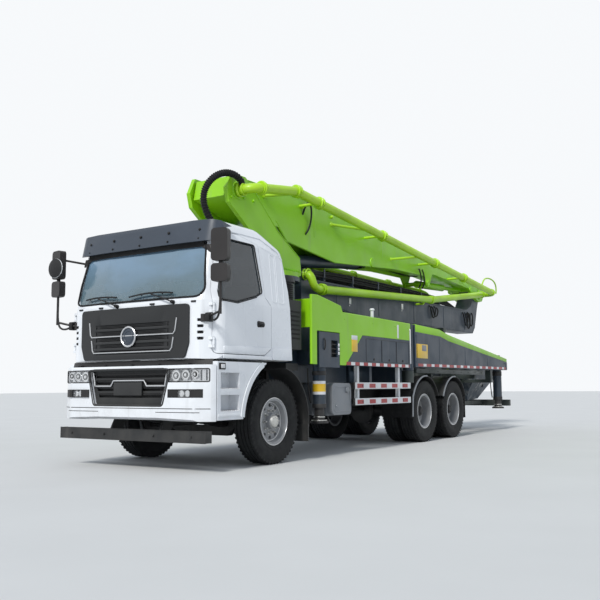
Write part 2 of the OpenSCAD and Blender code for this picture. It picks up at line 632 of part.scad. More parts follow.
module tanks() color(GREY) from_axle() {
    // Tank behind the front outrigger, on both sides
    for (s = SIDES) side_plate(520, s * (body_half_w - 298)) soft_rect([1380, 570], [1940, deck_z - 10], 70);
    for (s = SIDES, y = [1450, 1840]) mirror([s < 0 ? 1 : 0, 0, 0])
        block([rail_half_w + seat, body_half_w - 528], [y - 25, y + 25], [rail_z + 60, rail_z + 130]);
}
guard_y = [1980, wheelbase - tyre_d / 2 - 130];
GUARD_Z = [700, 940]; // low edges of the two rails
module side_guards() color(WHITE) from_axle() for (s = SIDES) {
    for (z = GUARD_Z) block([s * (body_half_w - 20) - 20, s * (body_half_w - 20) + 20], guard_y, [z,
        z + 100]);
    for (y = [guard_y[0] + 190, guard_y[1] - 370]) block([s * (body_half_w - 70) - 30,
        s * (body_half_w - 70) + 30], [y - 30, y + 30], [GUARD_Z[0], 1320 - seat]);
}

// Rear outrigger arms, which are the rear side panels
post = [body_half_w - 110, wheelbase - 530];
post_r = 95;
post_pin_r = 55;
arm_low = 1310;
jack_y = wheelbase + 4210;
arm_x = body_half_w - arm_t / 2;
rear_foot_z = 480;
arm_y = [post[1] + 80, jack_y + 330];
ARM = [[arm_y[0], arm_low], [arm_y[0], 2050], [wheelbase + 660, 2020], [wheelbase + 1060, 1950],
    [arm_y[1], 1580], [arm_y[1], arm_low + 20]];
module rear_arm(s) color(SLATE) from_axle() mirror([s < 0 ? 1 : 0, 0, 0]) difference() {
    union() {
        side_plate(arm_t, arm_x) polygon(ARM);
        translate([post[0], post[1], 0]) rod_z(post_r, 0, 0, arm_low - 60, 2040);
        block([post[0] - 60, post[0] + 60], [post[1], arm_y[0] + 10], [arm_low, 1990]);
        rod_z(leg_r + 25, arm_x, jack_y, 660, 1600);
    }
    rod_z(post_pin_r + 0.05, post[0], post[1], 0, 3000);
    rod_z(leg_r + 0.05, arm_x, jack_y, 0, 1560);
}
foot_r = 130;
module leg(x, y, foot, top) {
    rod_z(leg_r, x, y, foot + 70, top);
    rod_z(foot_r, x, y, foot, foot + 30);
    translate([x, y, foot + 30]) cylinder(r1 = foot_r * 0.7, r2 = leg_r * 0.8, h = 60);
}
module rear_jack(s) color(DARK) from_axle() leg(s * arm_x, jack_y, rear_foot_z, 1550);

// Front outrigger: sliding beam, end cover and the jack's outer tube
cover_y = [970, 1540];
front_foot_z = 470;
module front_beam(s, z) color(SLATE) from_axle() difference() {
    union() {
        beam_frame(s, z) translate([0, -beam_w / 2, 0]) cube([beam_len, beam_w, beam_h]);
        mirror([s < 0 ? 1 : 0, 0, 0]) {
            block([body_half_w - 88, body_half_w], cover_y, [panel_z - 40, 1750]);
            rod_z(leg_r + 22, jack_at[0], jack_at[1], 680, 1760);
        }
    }
    rod_z(leg_r + 0.05, s * jack_at[0], jack_at[1], 0, 1700);
    // Ladder recess in the cover
    mirror([s < 0 ? 1 : 0, 0, 0]) block([body_half_w - 58, body_half_w + 50], [cover_y[0] + 330,
        cover_y[1] - 60], [1400, 1640]);
}
module front_jack(s) color(DARK) from_axle() leg(s * jack_at[0], jack_at[1], front_foot_z, 1640);

// Turret: bearing collar, column box and the two cheeks that carry the boom's pivot
cheek_x = boom_w / 2 + 20;
cheek_t = 60;
lift_foot = [slew_y + 60, 2960];
lift_eye = [4500, 3280];
module turret() color(LIME) from_axle() {
    translate([0, slew_y, slew_z + seat]) cylinder(r = 470, h = 70);
    block([-cheek_x - cheek_t, cheek_x + cheek_t], [slew_y - 400, slew_y + 360], [slew_z + 50, 2830]);
    for (s = SIDES) side_plate(cheek_t, s * (cheek_x + cheek_t / 2))
        polygon([[slew_y - 400, 2820], [slew_y + 360, 2820], [slew_y + 330, 2990], [slew_y - 300, 3330],
            [pivot_y + 330, pivot_z + 130],
            [pivot_y + 180, pivot_z + 230], [pivot_y - 150, pivot_z + 230], [pivot_y - 260, pivot_z],
                [pivot_y - 200, pivot_z - 200]]);
    // Cross plate that closes the fork's lower front
    side_plate(2 * cheek_x + 10) polygon([[slew_y - 400, 2820], [slew_y - 340, 2820], [pivot_y + 500,
        3230], [pivot_y + 430, 3230]]);
    rod_x(pin_d / 2, -cheek_x - cheek_t - 30, cheek_x + cheek_t + 30, pivot_y, pivot_z);
    rod_x(pin_d / 2, -cheek_x - 10, cheek_x + 10, lift_foot[0], lift_foot[1]);
}

// Boom lift cylinder
lift_r = 105;
lift_a = atan2(lift_eye[1] - lift_foot[1], lift_eye[0] - lift_foot[0]);
lift_len = norm(lift_eye - lift_foot);
module lift_frame() translate([0, lift_foot[0], lift_foot[1]]) rotate([lift_a, 0, 0]) children();
module lift_barrel() color(SLATE) from_axle() lift_frame() difference() {
    union() {
        rod_y(lift_r, 0, 110, lift_len - 180, 0);
        rod_x(110, -90, 90, 0, 0);
        block([-70, 70], [0, 160], [-70, 70]);
    }
    rod_y(60.05, 0, 300, lift_len, 0);
    rod_x(pin_d / 2 + 0.05, -200, 200, 0, 0);
}
module lift_rod() color(STEEL) from_axle() lift_frame() difference() {
    union() {
        rod_y(60, 0, 320, lift_len - 60, 0);
        rod_x(95, -90, 90, lift_len, 0);
    }
    rod_x(pin_d / 2, -200, 200, lift_len, 0);
}

// Boom hinges: y and z of each
HINGE = [[pivot_y, pivot_z], [10250, 3230], [2250, 2790], [8800, 2920], [3150, 2910]];
// Boom lanes across the truck: left and right face of sections two to five
LANE = [[-200, 200], [-500, -290], [-700, -515], [-870, -715]];
module eye(h, r, x0, x1) rod_x(r, x0, x1, HINGE[h][0], HINGE[h][1]);
module pin_hole(h, x0 = -1000, x1 = 1000) eye(h, pin_d / 2 + 0.05, x0, x1);
module pin(h, x0, x1) eye(h, pin_d / 2, x0, x1);
module lane_plate(k) side_plate(LANE[k][1] - LANE[k][0], (LANE[k][0] + LANE[k][1]) / 2) children();
tip_inner = 205;
boom1_x = boom_w / 2 - run_gap;
FOLD = [[7080, 3170], [8500, 3235], [9640, 3290]]; // its foot, the end of its barrel and its rod's eye
module boom_1() color(LIME) from_axle() {
    difference() {
        union() {
            side_plate(2 * boom1_x) polygon([[pivot_y - 210, pivot_z - 100], [pivot_y - 150,
                pivot_z + 180], [pivot_y + 50, pivot_z + 240], [3000, 4010],
                [7100, 3765], [9950, 3490], [9950, 3290], [7400, 3400], [6900, 3340], [5600, 3340], [4800,
                    3410], [1500, 3410], [700, pivot_z - 260]]);
            // Belly plates either side of the lift cylinder, and the lugs behind them
            for (s = SIDES) side_plate(30, s * (boom1_x - 15)) polygon([[1300, 3500], [1620, 3230], [3130,
                3090], [5460, 3270], [6850, 3300],
                [7030, 3090], [7130, 3090], [7330, 3420], [6000, 3500]]);
            // Fork at the tip
            for (s = SIDES) side_plate(boom1_x - tip_inner, s * (boom1_x + tip_inner) / 2)
                polygon([[9000, 3400], [9000, 3560], [10300, 3450], [10460, 3350], [10520, 3200], [10430,
                    3080], [10220, 3040], [9900, 3110], [9500, 3310]]);
        }
        pin_hole(0);
        for (s = SIDES) rod_x(pin_d / 2, s * boom1_x - 40, s * boom1_x + 40, lift_eye[0], lift_eye[1]);
        // Room for the next section's head
        block([-tip_inner, tip_inner], [9800, 10600], [2900, 3400]);
    }
    pin(1, -boom1_x - 8, boom1_x + 8);
    // Fold cylinder of the second section, between the lugs and the fork
    bar([0, FOLD[0][0], FOLD[0][1]], [0, FOLD[1][0], FOLD[1][1]], 78);
    bar([0, FOLD[1][0], FOLD[1][1]], [0, FOLD[2][0], FOLD[2][1]], 42);
    rod_x(45, -boom1_x + 15, boom1_x - 15, FOLD[0][0], FOLD[0][1]);
    rod_x(45, -tip_inner - 20, tip_inner + 20, FOLD[2][0], FOLD[2][1]);
}
module boom_2() color(SLATE) from_axle() {
    difference() {
        union() {
            lane_plate(0) polygon([[2150, 2330], [2130, 2740], [9500, 2790], [9800, 2900], [10080, 3230],
                [10420, 3230], [10250, 2900], [10060, 2400], [9900, 2250], [4000, 2240], [3200, 2330]]);
            eye(1, 170, LANE[0][0], LANE[0][1]);
            eye(2, 105, -140, LANE[0][1]);
        }
        pin_hole(1);
        block([LANE[0][0] - 1, -145], [2000, 2480], [2640, 3100]);
    }
    pin(2, LANE[1][0] - 20, -130);
}
module boom_3() color(SLATE) from_axle() {
    difference() {
        union() {
            lane_plate(1) polygon([[2250, 2690], [2200, 2880], [2700, 3050], [8700, 3050], [8920, 2960],
                [8900, 2830], [8700, 2790], [2600, 2760]]);
            eye(2, 105, LANE[1][0], -150);
            eye(3, 110, LANE[1][0], LANE[1][1]);
        }
        pin_hole(2);
    }
    pin(3, LANE[2][0] - 10, LANE[1][0] + 10);
}
module boom_4() color(SLATE) from_axle() {
    difference() {
        union() {
            lane_plate(2) polygon([[8800, 2820], [8850, 3020], [8500, 3040], [3300, 3000], [3100, 2990],
                [3100, 2830], [3400, 2800]]);
            eye(3, 100, LANE[2][0], LANE[2][1]);
            eye(4, 95, LANE[2][0], LANE[2][1]);
        }
        pin_hole(3);
    }
    pin(4, LANE[3][0] - 10, LANE[2][0] + 10);
}
module boom_5() color(SLATE) from_axle() difference() {
    union() {
        lane_plate(3) polygon([[3150, 2830], [3150, 3000], [8200, 2970], [8300, 2930], [8300, 2850], [8200,
            2820]]);
        eye(4, 90, LANE[3][0], LANE[3][1]);
    }
    pin_hole(4);
}

// Delivery pipe: a stub on a hinge's axis, a bend, then the run along the boom
bend_r = 150;
lane_1 = 640;
lane_2 = 365;
pipe_r = pipe_d / 2;
function slope(a, b) = atan2(b[1] - a[1], b[0] - a[0]);
// Stub from x0 along the axis, bend of radius R in the lane x, then a run of length l at angle a
module pipe_end(p, a, x0, x, R, l) translate([0, p[0], p[1]]) rotate([a, 0, 0]) {
    d = sign(x - x0);
    rod_x(pipe_r, min(x0, x - d * R), max(x0, x - d * R), 0, 0);
    translate([x - d * R, R, 0]) mirror([d < 0 ? 1 : 0, 0, 0]) rotate([0, 0, -90])
        rotate_extrude(angle = 90) translate([R, 0]) circle(r = pipe_r);
    rod_y(pipe_r, x, R, l, 0);
    rod_y(pipe_r + 16, x, R - 5, R + 45, 0);
}
module coupling(x, p, a) translate([x, p[0], p[1]]) rotate([a, 0, 0]) rod_y(pipe_r + 18, 0, -45, 45, 0);
rise = [1340, 3915];
pipe_2_bend = [7000, 2800];
pipe_2_end = [2500, 2560];
module pipe_1() color(LIME) from_axle() {
    a1 = slope(HINGE[0], rise);
    a2 = slope(rise, HINGE[1]);
    pipe_end(HINGE[0], a1, cheek_x + cheek_t + 32, lane_1, bend_r, norm(rise - HINGE[0]));
    coupling(lane_1, rise, (a1 + a2) / 2);
    pipe_end(HINGE[1], a2 + 180, lane_1 - bend_r - 20, lane_1, bend_r, norm(rise - HINGE[1]));
    // Brackets on the boom's side
    for (y = [2000, 4200, 6600, 8200]) {
        z = rise[1] + (y - rise[0]) * tan(a2);
        coupling(lane_1, [y, z], a2);
        rod_x(25, boom1_x + seat, lane_1, y, z);
    }
}
module pipe_2() color(LIME) from_axle() {
    a1 = slope(HINGE[1], pipe_2_bend);
    a2 = slope(pipe_2_bend, pipe_2_end);
    pipe_end(HINGE[1], a1, lane_1 - bend_r - 25, lane_2, 90, norm(pipe_2_bend - HINGE[1]));
    bar([lane_2, pipe_2_bend[0], pipe_2_bend[1]], [lane_2, pipe_2_end[0], pipe_2_end[1]], pipe_r);
    coupling(lane_2, pipe_2_bend, (a1 + a2) / 2 + 180);
    for (y = [2800, 5000, 6600]) {
        z = pipe_2_end[1] + (y - pipe_2_end[0]) * tan(slope(pipe_2_end, pipe_2_bend));
        rod_x(22, LANE[0][1] + seat, lane_2, y, min(z, 2680));
        rod_z(22, lane_2, y, min(z, 2680) - 5, z);
    }
}

// Tail: carrying beams, arm brackets, boom rest, pump and hopper
hopper_y = [wheelbase + 3780, wheelbase + 5080];
hopper_z = [640, 1480];
tail_x = rail_half_w - 30;
rest_y = wheelbase + 2960;
SADDLE_Y = [hopper_y[0] - 180, hopper_y[0] - 60];
module tail_frame() color(SLATE) from_axle() {
    for (s = SIDES) block([min(s * tail_x, s * (tail_x - 90)), max(s * tail_x, s * (tail_x - 90))],
        [ped_y[1] + seat, hopper_y[0] - seat], [deck_z, deck_z + 90]);
    for (y = [ped_y[1] + 590, post[1], wheelbase + 660, rest_y, hopper_y[0] - 120]) block([-tail_x,
        tail_x], [y - 50, y + 50], [deck_z + 10, deck_z + 80]);
    // Lower brackets and pins of the rear arms
    for (s = SIDES) {
        mirror([s < 0 ? 1 : 0, 0, 0]) {
            block([tail_x - 10, post[0]], [post[1] - 80, post[1] + 80], [deck_z + seat, arm_low - 66]);
            rod_z(post_r, post[0], post[1], deck_z + seat, arm_low - 66);
            rod_z(post_pin_r, post[0], post[1], deck_z + 50, 2060);
            // Saddle under the arm's free end
            block([tail_x - 10, body_half_w - 60], SADDLE_Y, [deck_z + 10, deck_z + 80]);
            block([arm_x - 60, arm_x + 60], SADDLE_Y, [deck_z + 70, arm_low + 8]);
        }
        // Boom rest
        block([s * 370 - 40, s * 370 + 40], [rest_y - 40, rest_y + 40], [deck_z + 70, 2180]);
    }
    block([-410, 410], [rest_y - 60, rest_y + 60], [2160, 2234]);
    // Lamp board and rear bumper under the hopper
    for (s = SIDES) block([s * 500 - 30, s * 500 + 30], [hopper_y[0] - 120, hopper_y[1] - 220], [560, 640]);
    for (s = SIDES) block([s * 500 - 30, s * 500 + 30], [hopper_y[0] - 180, hopper_y[0] - 100], [560,
        deck_z + 20]);
    block([68 - body_half_w, body_half_w - 68], [hopper_y[1] - 220, hopper_y[1] - 140], [520, 660]);
}
// Water box between the drive cylinders in front and the delivery cylinders behind
water_box = [wheelbase + 1410, wheelbase + 1880];
module pump_unit() color(GREY) from_axle() {
    for (x = [-170, 170]) {
        rod_y(125, x, water_box[1] - 20, hopper_y[0] - seat, 1290);
        rod_y(75, x, wheelbase - 140, water_box[0] + 50, 1290);
    }
    block([-330, 330], water_box, [deck_z + 90 + seat, 1440]);
    block([-300, 300], [wheelbase - 200, wheelbase - 100], [deck_z + 90 + seat, 1400]);
}
module hopper_form(t) intersection() {
    side_plate(2400) offset(delta = -t) polygon([[hopper_y[0], hopper_z[1]], [hopper_y[1], hopper_z[1]],
        [hopper_y[1] - 30, 1150], [hopper_y[1] - 460, hopper_z[0] + 50], [hopper_y[0] + 200, hopper_z[0]],
            [hopper_y[0], 900]]);
    front_plate(8000, 10000) offset(delta = -t) polygon([[-800, hopper_z[1]], [-780, 1200], [-480,
        hopper_z[0]], [480, hopper_z[0]], [780, 1200], [800, hopper_z[1]]]);
}
agitator = [hopper_y[0] + 730, 980];
module hopper() color(SLATE) from_axle() {
    difference() {
        union() {
            hopper_form(0);
            block([-840, 840], [hopper_y[0] - 0.1, hopper_y[1] + 40], [hopper_z[1] - 50, hopper_z[1]]);
        }
        hopper_form(16);
        block([-650, 650], [hopper_y[0] + 40, hopper_y[1] - 40], [hopper_z[1] - 70, hopper_z[1] + 10]);
    }
    // Hinge lugs of the grate
    for (s = SIDES) difference() {
        block([s * 670 - 12, s * 670 + 12], [grate_axis[0] - 30, grate_axis[0] + 30], [hopper_z[1] - 40,
            grate_axis[1] + 30]);
        rod_x(15.05, -800, 800, grate_axis[0], grate_axis[1]);
    }
    // Agitator shaft with its paddles
    rod_x(35, -700, 700, agitator[0], agitator[1]);
    for (k = [0:3]) translate([-450 + k * 300, agitator[0], agitator[1]]) rotate([k * 90, 0, 0])
        block([-15, 15], [-40, 40], [0, 240]);
}
grate_y = [hopper_y[0] + 440, hopper_y[1] - 20];
grate_z = hopper_z[1] + 8;
grate_axis = [grate_y[0], grate_z + 15];
module hopper_grate() color(DARK) from_axle() {
    rod_x(15, -690, 690, grate_axis[0], grate_axis[1]);
    for (x = [-630 : 140 : 630]) block([x - 8, x + 8], [grate_y[0], grate_y[1]], [grate_z, grate_z + 30]);
    for (y = [(grate_y[0] + grate_y[1]) / 2, grate_y[1] - 20]) block([-640, 640], [y, y + 20], [grate_z,
        grate_z + 30]);
}

frame_rails();
front_axle();
rear_axles();
engine();
cab_shell();
cab_glass();
door(1);  // door_left
door(-1);  // door_right
door_pane(1);  // pane_left
door_pane(-1);  // pane_right
cab_interior();
sun_visor();
grille();
lower_panels();
lower_grille();
lamps();
mirrors();
intake_stack();
mudguards();
front_tyre(1);  // front_tyre_left
front_tyre(-1);  // front_tyre_right
front_rim(1);  // front_rim_left
front_rim(-1);  // front_rim_right
knuckle(1);  // knuckle_left
knuckle(-1);  // knuckle_right
rear_tyres(1, rear_y[0]);  // tyres_1_left
rear_tyres(-1, rear_y[0]);  // tyres_1_right
rear_tyres(1, rear_y[1]);  // tyres_2_left
rear_tyres(-1, rear_y[1]);  // tyres_2_right
rear_rims(1, rear_y[0]);  // rims_1_left
rear_rims(-1, rear_y[0]);  // rims_1_right
rear_rims(1, rear_y[1]);  // rims_2_left
rear_rims(-1, rear_y[1]);  // rims_2_right
pedestal();
side_wings();
side_boxes();
tanks();
side_guards();
tail_frame();
pump_unit();
hopper();
hopper_grate();
rear_arm(1);  // rear_arm_left
rear_arm(-1);  // rear_arm_right
rear_jack(1);  // rear_jack_left
rear_jack(-1);  // rear_jack_right
front_beam(BEAMS[0][0], BEAMS[0][1]);  // front_beam_left
front_beam(BEAMS[1][0], BEAMS[1][1]);  // front_beam_right
front_jack(1);  // front_jack_left
front_jack(-1);  // front_jack_right
turret();
lift_barrel();
lift_rod();
boom_1();
pipe_1();
boom_2();
pipe_2();
boom_3();
boom_4();
boom_5();
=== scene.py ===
"""Looks of a concrete pump truck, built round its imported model. Metres, +Z up, cab towards -Y."""
import json
import math
from functools import partial

import bmesh
import bpy
from mathutils import Matrix, Vector


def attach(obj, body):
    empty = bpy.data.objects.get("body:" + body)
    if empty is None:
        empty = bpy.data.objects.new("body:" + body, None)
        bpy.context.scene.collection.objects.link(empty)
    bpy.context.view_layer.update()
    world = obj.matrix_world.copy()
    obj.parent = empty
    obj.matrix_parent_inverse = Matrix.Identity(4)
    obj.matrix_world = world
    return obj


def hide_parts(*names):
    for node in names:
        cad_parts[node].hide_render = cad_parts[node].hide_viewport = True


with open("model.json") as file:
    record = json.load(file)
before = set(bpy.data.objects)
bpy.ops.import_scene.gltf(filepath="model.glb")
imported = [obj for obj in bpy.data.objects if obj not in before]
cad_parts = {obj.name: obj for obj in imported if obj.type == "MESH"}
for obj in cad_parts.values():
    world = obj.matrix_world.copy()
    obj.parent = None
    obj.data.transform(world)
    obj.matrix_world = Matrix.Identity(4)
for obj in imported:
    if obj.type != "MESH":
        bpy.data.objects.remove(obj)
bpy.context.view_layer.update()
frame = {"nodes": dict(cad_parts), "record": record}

# Lengths along the truck are written from the front axle, which stands at y = AXLE
AXLE = -4.52
AXLE_Z = 0.54
REAR = (4.64, 5.99)
SIDES = (1, -1)  # left and right


def at(x, y, z):
    """A point whose y counts from the front axle."""
    return Vector((x, y + AXLE, z))


# Materials
class Wire:
    """One output of a material's nodes, so that its maths reads as plain expressions."""

    def __init__(self, finish, out):
        self.finish, self.out = finish, out

    def _do(self, operation, *args):
        return self.finish.node("ShaderNodeMath", {"operation": operation}, *args)

    def __add__(self, other):
        return self._do("ADD", self, other)

    def __mul__(self, other):
        return self._do("MULTIPLY", self, other)

    def __sub__(self, other):
        return self._do("SUBTRACT", self, other)

    def __rsub__(self, other):
        return self._do("SUBTRACT", other, self)

    __radd__ = __add__
    __rmul__ = __mul__

    def ramp(self, low, high):
        """0 up to low, 1 from high on, smooth between."""
        settings = {"interpolation_type": "SMOOTHSTEP"}
        return self.finish.node("ShaderNodeMapRange", settings, self, low, high)


class Finish:
    """A material on one principled shader, with helpers for its patterns."""

    def __init__(self, name, colour, rough, **sockets):
        self.mat = bpy.data.materials.new(name)
        self.mat.use_nodes = True
        self.tree = self.mat.node_tree
        self.shader = self.tree.nodes["Principled BSDF"]
        self.set("Base Color", (*colour, 1.0))
        self.set("Roughness", rough)
        for key, value in sockets.items():
            self.set(key.replace("_", " "), value)
        self.place = self.node("ShaderNodeTexCoord", {}, out="Object")
        self.mat.diffuse_color = (*colour, 1.0)

    def set(self, name, value):
        self._feed(self.shader.inputs[name], value)

    def _feed(self, socket, value):
        if isinstance(value, Wire):
            self.tree.links.new(value.out, socket)
        elif value is not None:
            socket.default_value = value

    def node(self, kind, settings, *inputs, out=0, **named):
        made = self.tree.nodes.new(kind)
        for key, value in settings.items():
            setattr(made, key, value)
        for socket, value in zip(made.inputs, inputs):
            self._feed(socket, value)
        for key, value in named.items():
            self._feed(made.inputs[key.replace("_", " ")], value)
        return Wire(self, made.outputs[out])

    def noise(self, scale, detail=3.0, place=None, stretch=None):
        where = place or self.place
        if stretch:
            where = self.node("ShaderNodeMapping", {}, where, None, None, stretch)
        return self.node("ShaderNodeTexNoise", {}, Vector=where, Scale=scale, Detail=detail)

    def cells(self, scale):
        return self.node("ShaderNodeTexVoronoi", {}, Vector=self.place, Scale=scale)

    def height(self):
        return self.node("ShaderNodeSeparateXYZ", {}, self.place, out="Z")

    def mix(self, mask, first, second):
        made = self.tree.nodes.new("ShaderNodeMix")
        made.data_type = "RGBA"
        self._feed(made.inputs[0], mask)
        for socket, value in ((made.inputs[6], first), (made.inputs[7], second)):
            self._feed(socket, value if isinstance(value, Wire) else (*value, 1.0))
        return Wire(self, made.outputs[2])

    def bump(self, height, strength, distance):
        made = self.node("ShaderNodeBump", {}, Strength=strength, Distance=distance, Height=height)
        self.set("Normal", made)


def shade(colour, k):
    """A colour made darker or lighter."""
    return tuple(min(1.0, c * k) for c in colour)


ROAD_DUST = (0.36, 0.33, 0.29)


def paint(name, colour, rough=0.35, coat=0.4, dust=0.5, chips=0.0, mottle=0.06):
    """Sprayed paint: slight clouding, orange peel, dust low down, streaks below edges and chips."""
    f = Finish(name, colour, rough, Coat_Weight=coat, Coat_Roughness=0.12)
    cloud = f.noise(1.3, 4.0).ramp(0.3, 0.7)
    tone = f.mix(cloud, shade(colour, 1 - mottle), shade(colour, 1 + mottle))
    streak = f.noise(1.0, 5.0, stretch=(9.0, 9.0, 0.7)).ramp(0.56, 0.78) * 0.16
    tone = f.mix(streak, tone, shade(ROAD_DUST, 0.6))
    low = (1 - f.height().ramp(0.35, 1.7)) * f.noise(5.0, 6.0).ramp(0.3, 0.75) * dust
    tone = f.mix(low, tone, ROAD_DUST)
    grain = f.noise(260.0, 2.0)
    wear = f.noise(3.0, 3.0).ramp(0.35, 0.7)
    if chips:
        spot = f.noise(38.0, 5.0).ramp(0.72, 0.75) * wear * chips
        tone = f.mix(spot, tone, shade(colour, 0.35))
    f.set("Base Color", tone)
    f.set("Roughness", wear * 0.14 + low * 0.35 + (rough - 0.05))
    f.bump(grain, 0.06, 0.002)
    return f.mat


def plastic(name, colour, rough=0.55, grain=420.0, depth=0.25, dust=0.4):
    """Moulded plastic with a fine leather grain and dust in it."""
    f = Finish(name, colour, rough, Specular_IOR_Level=0.3)
    pits = f.cells(grain)
    fade = f.noise(2.0, 5.0).ramp(0.35, 0.75)
    low = (1 - f.height().ramp(0.3, 1.4)) * fade * dust
    tone = f.mix(fade * 0.35, colour, shade(colour, 1.5))
    f.set("Base Color", f.mix(low, tone, ROAD_DUST))
    f.set("Roughness", fade * 0.15 + low * 0.2 + (rough - 0.05))
    f.bump(pits, depth, 0.0015)
    return f.mat


def bare_metal(name, colour, rough=0.3, stretch=None, rust=0.0):
    """Steel, bare or plated, with faint lines from the tool and some rust."""
    f = Finish(name, colour, rough, Metallic=1.0)
    lines = f.noise(90.0, 3.0, stretch=stretch or (1.0, 1.0, 1.0))
    stain = f.noise(6.0, 6.0).ramp(0.55, 0.72) * rust
    f.set("Base Color", f.mix(stain, f.mix(lines, shade(colour, 0.86), colour), (0.24, 0.12, 0.06)))
    f.set("Metallic", 1 - stain * 0.8)
    f.set("Roughness", lines * 0.14 + stain * 0.4 + (rough - 0.06))
    f.bump(lines, 0.05, 0.001)
    return f.mat


def rubber(name, colour=(0.011, 0.0115, 0.0125), mud=0.14):
    """Tyre and hose rubber, greyed by dust where it touches the road."""
    f = Finish(name, colour, 0.78, Specular_IOR_Level=0.25)
    fine = f.noise(120.0, 4.0)
    dirt = f.noise(9.0, 6.0).ramp(0.4, 0.8) * mud
    tone = f.mix(fine, shade(colour, 0.8), shade(colour, 1.4))
    f.set("Base Color", f.mix(dirt, tone, (0.10, 0.11, 0.1)))
    f.set("Roughness", dirt * 0.15 + 0.7)
    f.bump(fine, 0.2, 0.002)
    return f.mat


def lens(name, colour, alpha=0.35, rib=70.0):
    """Lamp glass with pressed ribs."""
    f = Finish(name, colour, 0.08, Coat_Weight=0.5, Alpha=alpha)
    waves = f.node("ShaderNodeTexWave", {"bands_direction": "X"}, Vector=f.place, Scale=rib)
    f.set("Base Color", f.mix(waves * 0.3, colour, shade(colour, 0.75)))
    f.bump(waves, 0.25, 0.002)
    f.mat.surface_render_method = "DITHERED"
    return f.mat


def window(name, colour, alpha):
    """Tinted pane with a faint film of dust."""
    f = Finish(name, colour, 0.04, Coat_Weight=1.0, Coat_Roughness=0.03)
    film = f.noise(7.0, 6.0).ramp(0.45, 0.8)
    f.set("Alpha", film * 0.08 + alpha)
    f.set("Roughness", film * 0.08 + 0.03)
    f.mat.surface_render_method = "DITHERED"
    return f.mat


def screen(name, low_tint_and_reflection, high_tint_and_reflection, alpha):
    """The windscreen: painted reflections of sky at its top and hedges at its foot, coloured into the glass,
    with a faint film of dust.
    """
    f = Finish(name, low_tint_and_reflection, 0.05, Coat_Weight=1.0, Coat_Roughness=0.03)
    # painted reflection: the glass colour runs from a hedge green at the foot to a sky blue at the top,
    # broken by clouds, and the glass grows more opaque upwards so the painted sky shows more
    rise = f.height().ramp(2.05, 2.75)
    cloud = f.noise(1.6, 4.0, stretch=(1.0, 1.0, 2.2)).ramp(0.35, 0.65)
    f.set("Base Color", f.mix(rise * 0.7 + cloud * 0.3, low_tint_and_reflection, high_tint_and_reflection))
    film = f.noise(7.0, 6.0).ramp(0.45, 0.8)
    f.set("Alpha", film * 0.06 + rise * 0.1 + alpha)
    f.set("Roughness", film * 0.08 + 0.03)
    f.mat.surface_render_method = "DITHERED"
    return f.mat


def checker_steel(name, colour):
    """Tread plate: raised lozenges in two directions."""
    f = Finish(name, colour, 0.45, Metallic=0.5)
    settings = {"bands_direction": "DIAGONAL"}
    ribs = f.node("ShaderNodeTexWave", settings, Vector=f.place, Scale=22.0, Distortion=4.0)
    dirt = f.noise(5.0, 6.0).ramp(0.35, 0.75)
    f.set("Base Color", f.mix(dirt * 0.5, colour, ROAD_DUST))
    f.set("Roughness", dirt * 0.3 + 0.4)
    f.bump(ribs.ramp(0.6, 0.8), 0.5, 0.004)
    return f.mat


def cement(name, colour):
    """Paint under splashes of dried concrete."""
    f = Finish(name, colour, 0.6)
    splash = f.noise(7.0, 8.0).ramp(0.5, 0.62)
    run = f.noise(2.0, 6.0, stretch=(6.0, 6.0, 0.6)).ramp(0.52, 0.7)
    caked = splash * run * 0.9 + splash * 0.25
    f.set("Base Color", f.mix(caked, f.mix(run * 0.3, colour, ROAD_DUST), (0.46, 0.45, 0.42)))
    f.set("Roughness", caked * 0.35 + 0.5)
    f.bump(caked, 0.5, 0.004)
    return f.mat


LIME = (0.27, 0.60, 0.004)
SLATE = (0.021, 0.036, 0.056)
lime = paint("lime_paint", LIME, 0.42, 0.08, dust=0.12, chips=0.4)
lime_pipe = paint("lime_pipe_paint", (0.40, 0.68, 0.015), 0.46, 0.1, dust=0.2, chips=0.9, mottle=0.1)
slate = paint("slate_paint", SLATE, 0.46, 0.06, dust=0.10, chips=0.4, mottle=0.14)
white = paint("cab_white_paint", (0.80, 0.82, 0.85), 0.24, 0.8, dust=0.20, mottle=0.02)
chassis_black = paint("frame_black_paint", (0.014, 0.015, 0.016), 0.55, 0.0, dust=0.06, chips=0.6,
                      mottle=0.15)
under_green = paint("subframe_paint", (0.026, 0.038, 0.036), 0.5, 0.1, dust=0.15, chips=0.6, mottle=0.2)
tank_grey = paint("tank_grey_paint", (0.17, 0.185, 0.205), 0.4, 0.3, dust=0.15, mottle=0.1)
guard_white = paint("guard_white_paint", (0.70, 0.71, 0.72), 0.45, 0.2, dust=0.25, chips=0.6, mottle=0.06)
rim_paint = paint("rim_grey_paint", (0.25, 0.255, 0.265), 0.36, 0.3, dust=0.15, chips=0.4, mottle=0.15)
castings = paint("casting_paint", (0.020, 0.020, 0.022), 0.6, 0.0, dust=0.10, chips=0.8, mottle=0.3)
visor_grey = plastic("visor_plastic", (0.045, 0.056, 0.074), 0.38, depth=0.1, dust=0.1)
trim_grey = plastic("trim_plastic", (0.024, 0.025, 0.026), 0.5, dust=0.1)
mirror_shell = plastic("mirror_shell", (0.026, 0.024, 0.024), 0.4, depth=0.12, dust=0.0)
trim_black = plastic("black_plastic", (0.013, 0.013, 0.014), 0.5, dust=0.1)
cabin_grey = plastic("cabin_plastic", (0.085, 0.088, 0.095), 0.7, dust=0.0)
zinc = bare_metal("zinc_bolts", (0.62, 0.62, 0.60), 0.4, rust=0.25)
chrome = bare_metal("chrome_plate", (0.78, 0.79, 0.80), 0.12)
satin_trim = bare_metal("satin_trim", (0.70, 0.71, 0.73), 0.28)
tyre_rubber = rubber("tyre_rubber")
hose_rubber = rubber("hose_rubber", (0.010, 0.010, 0.011), mud=0.10)
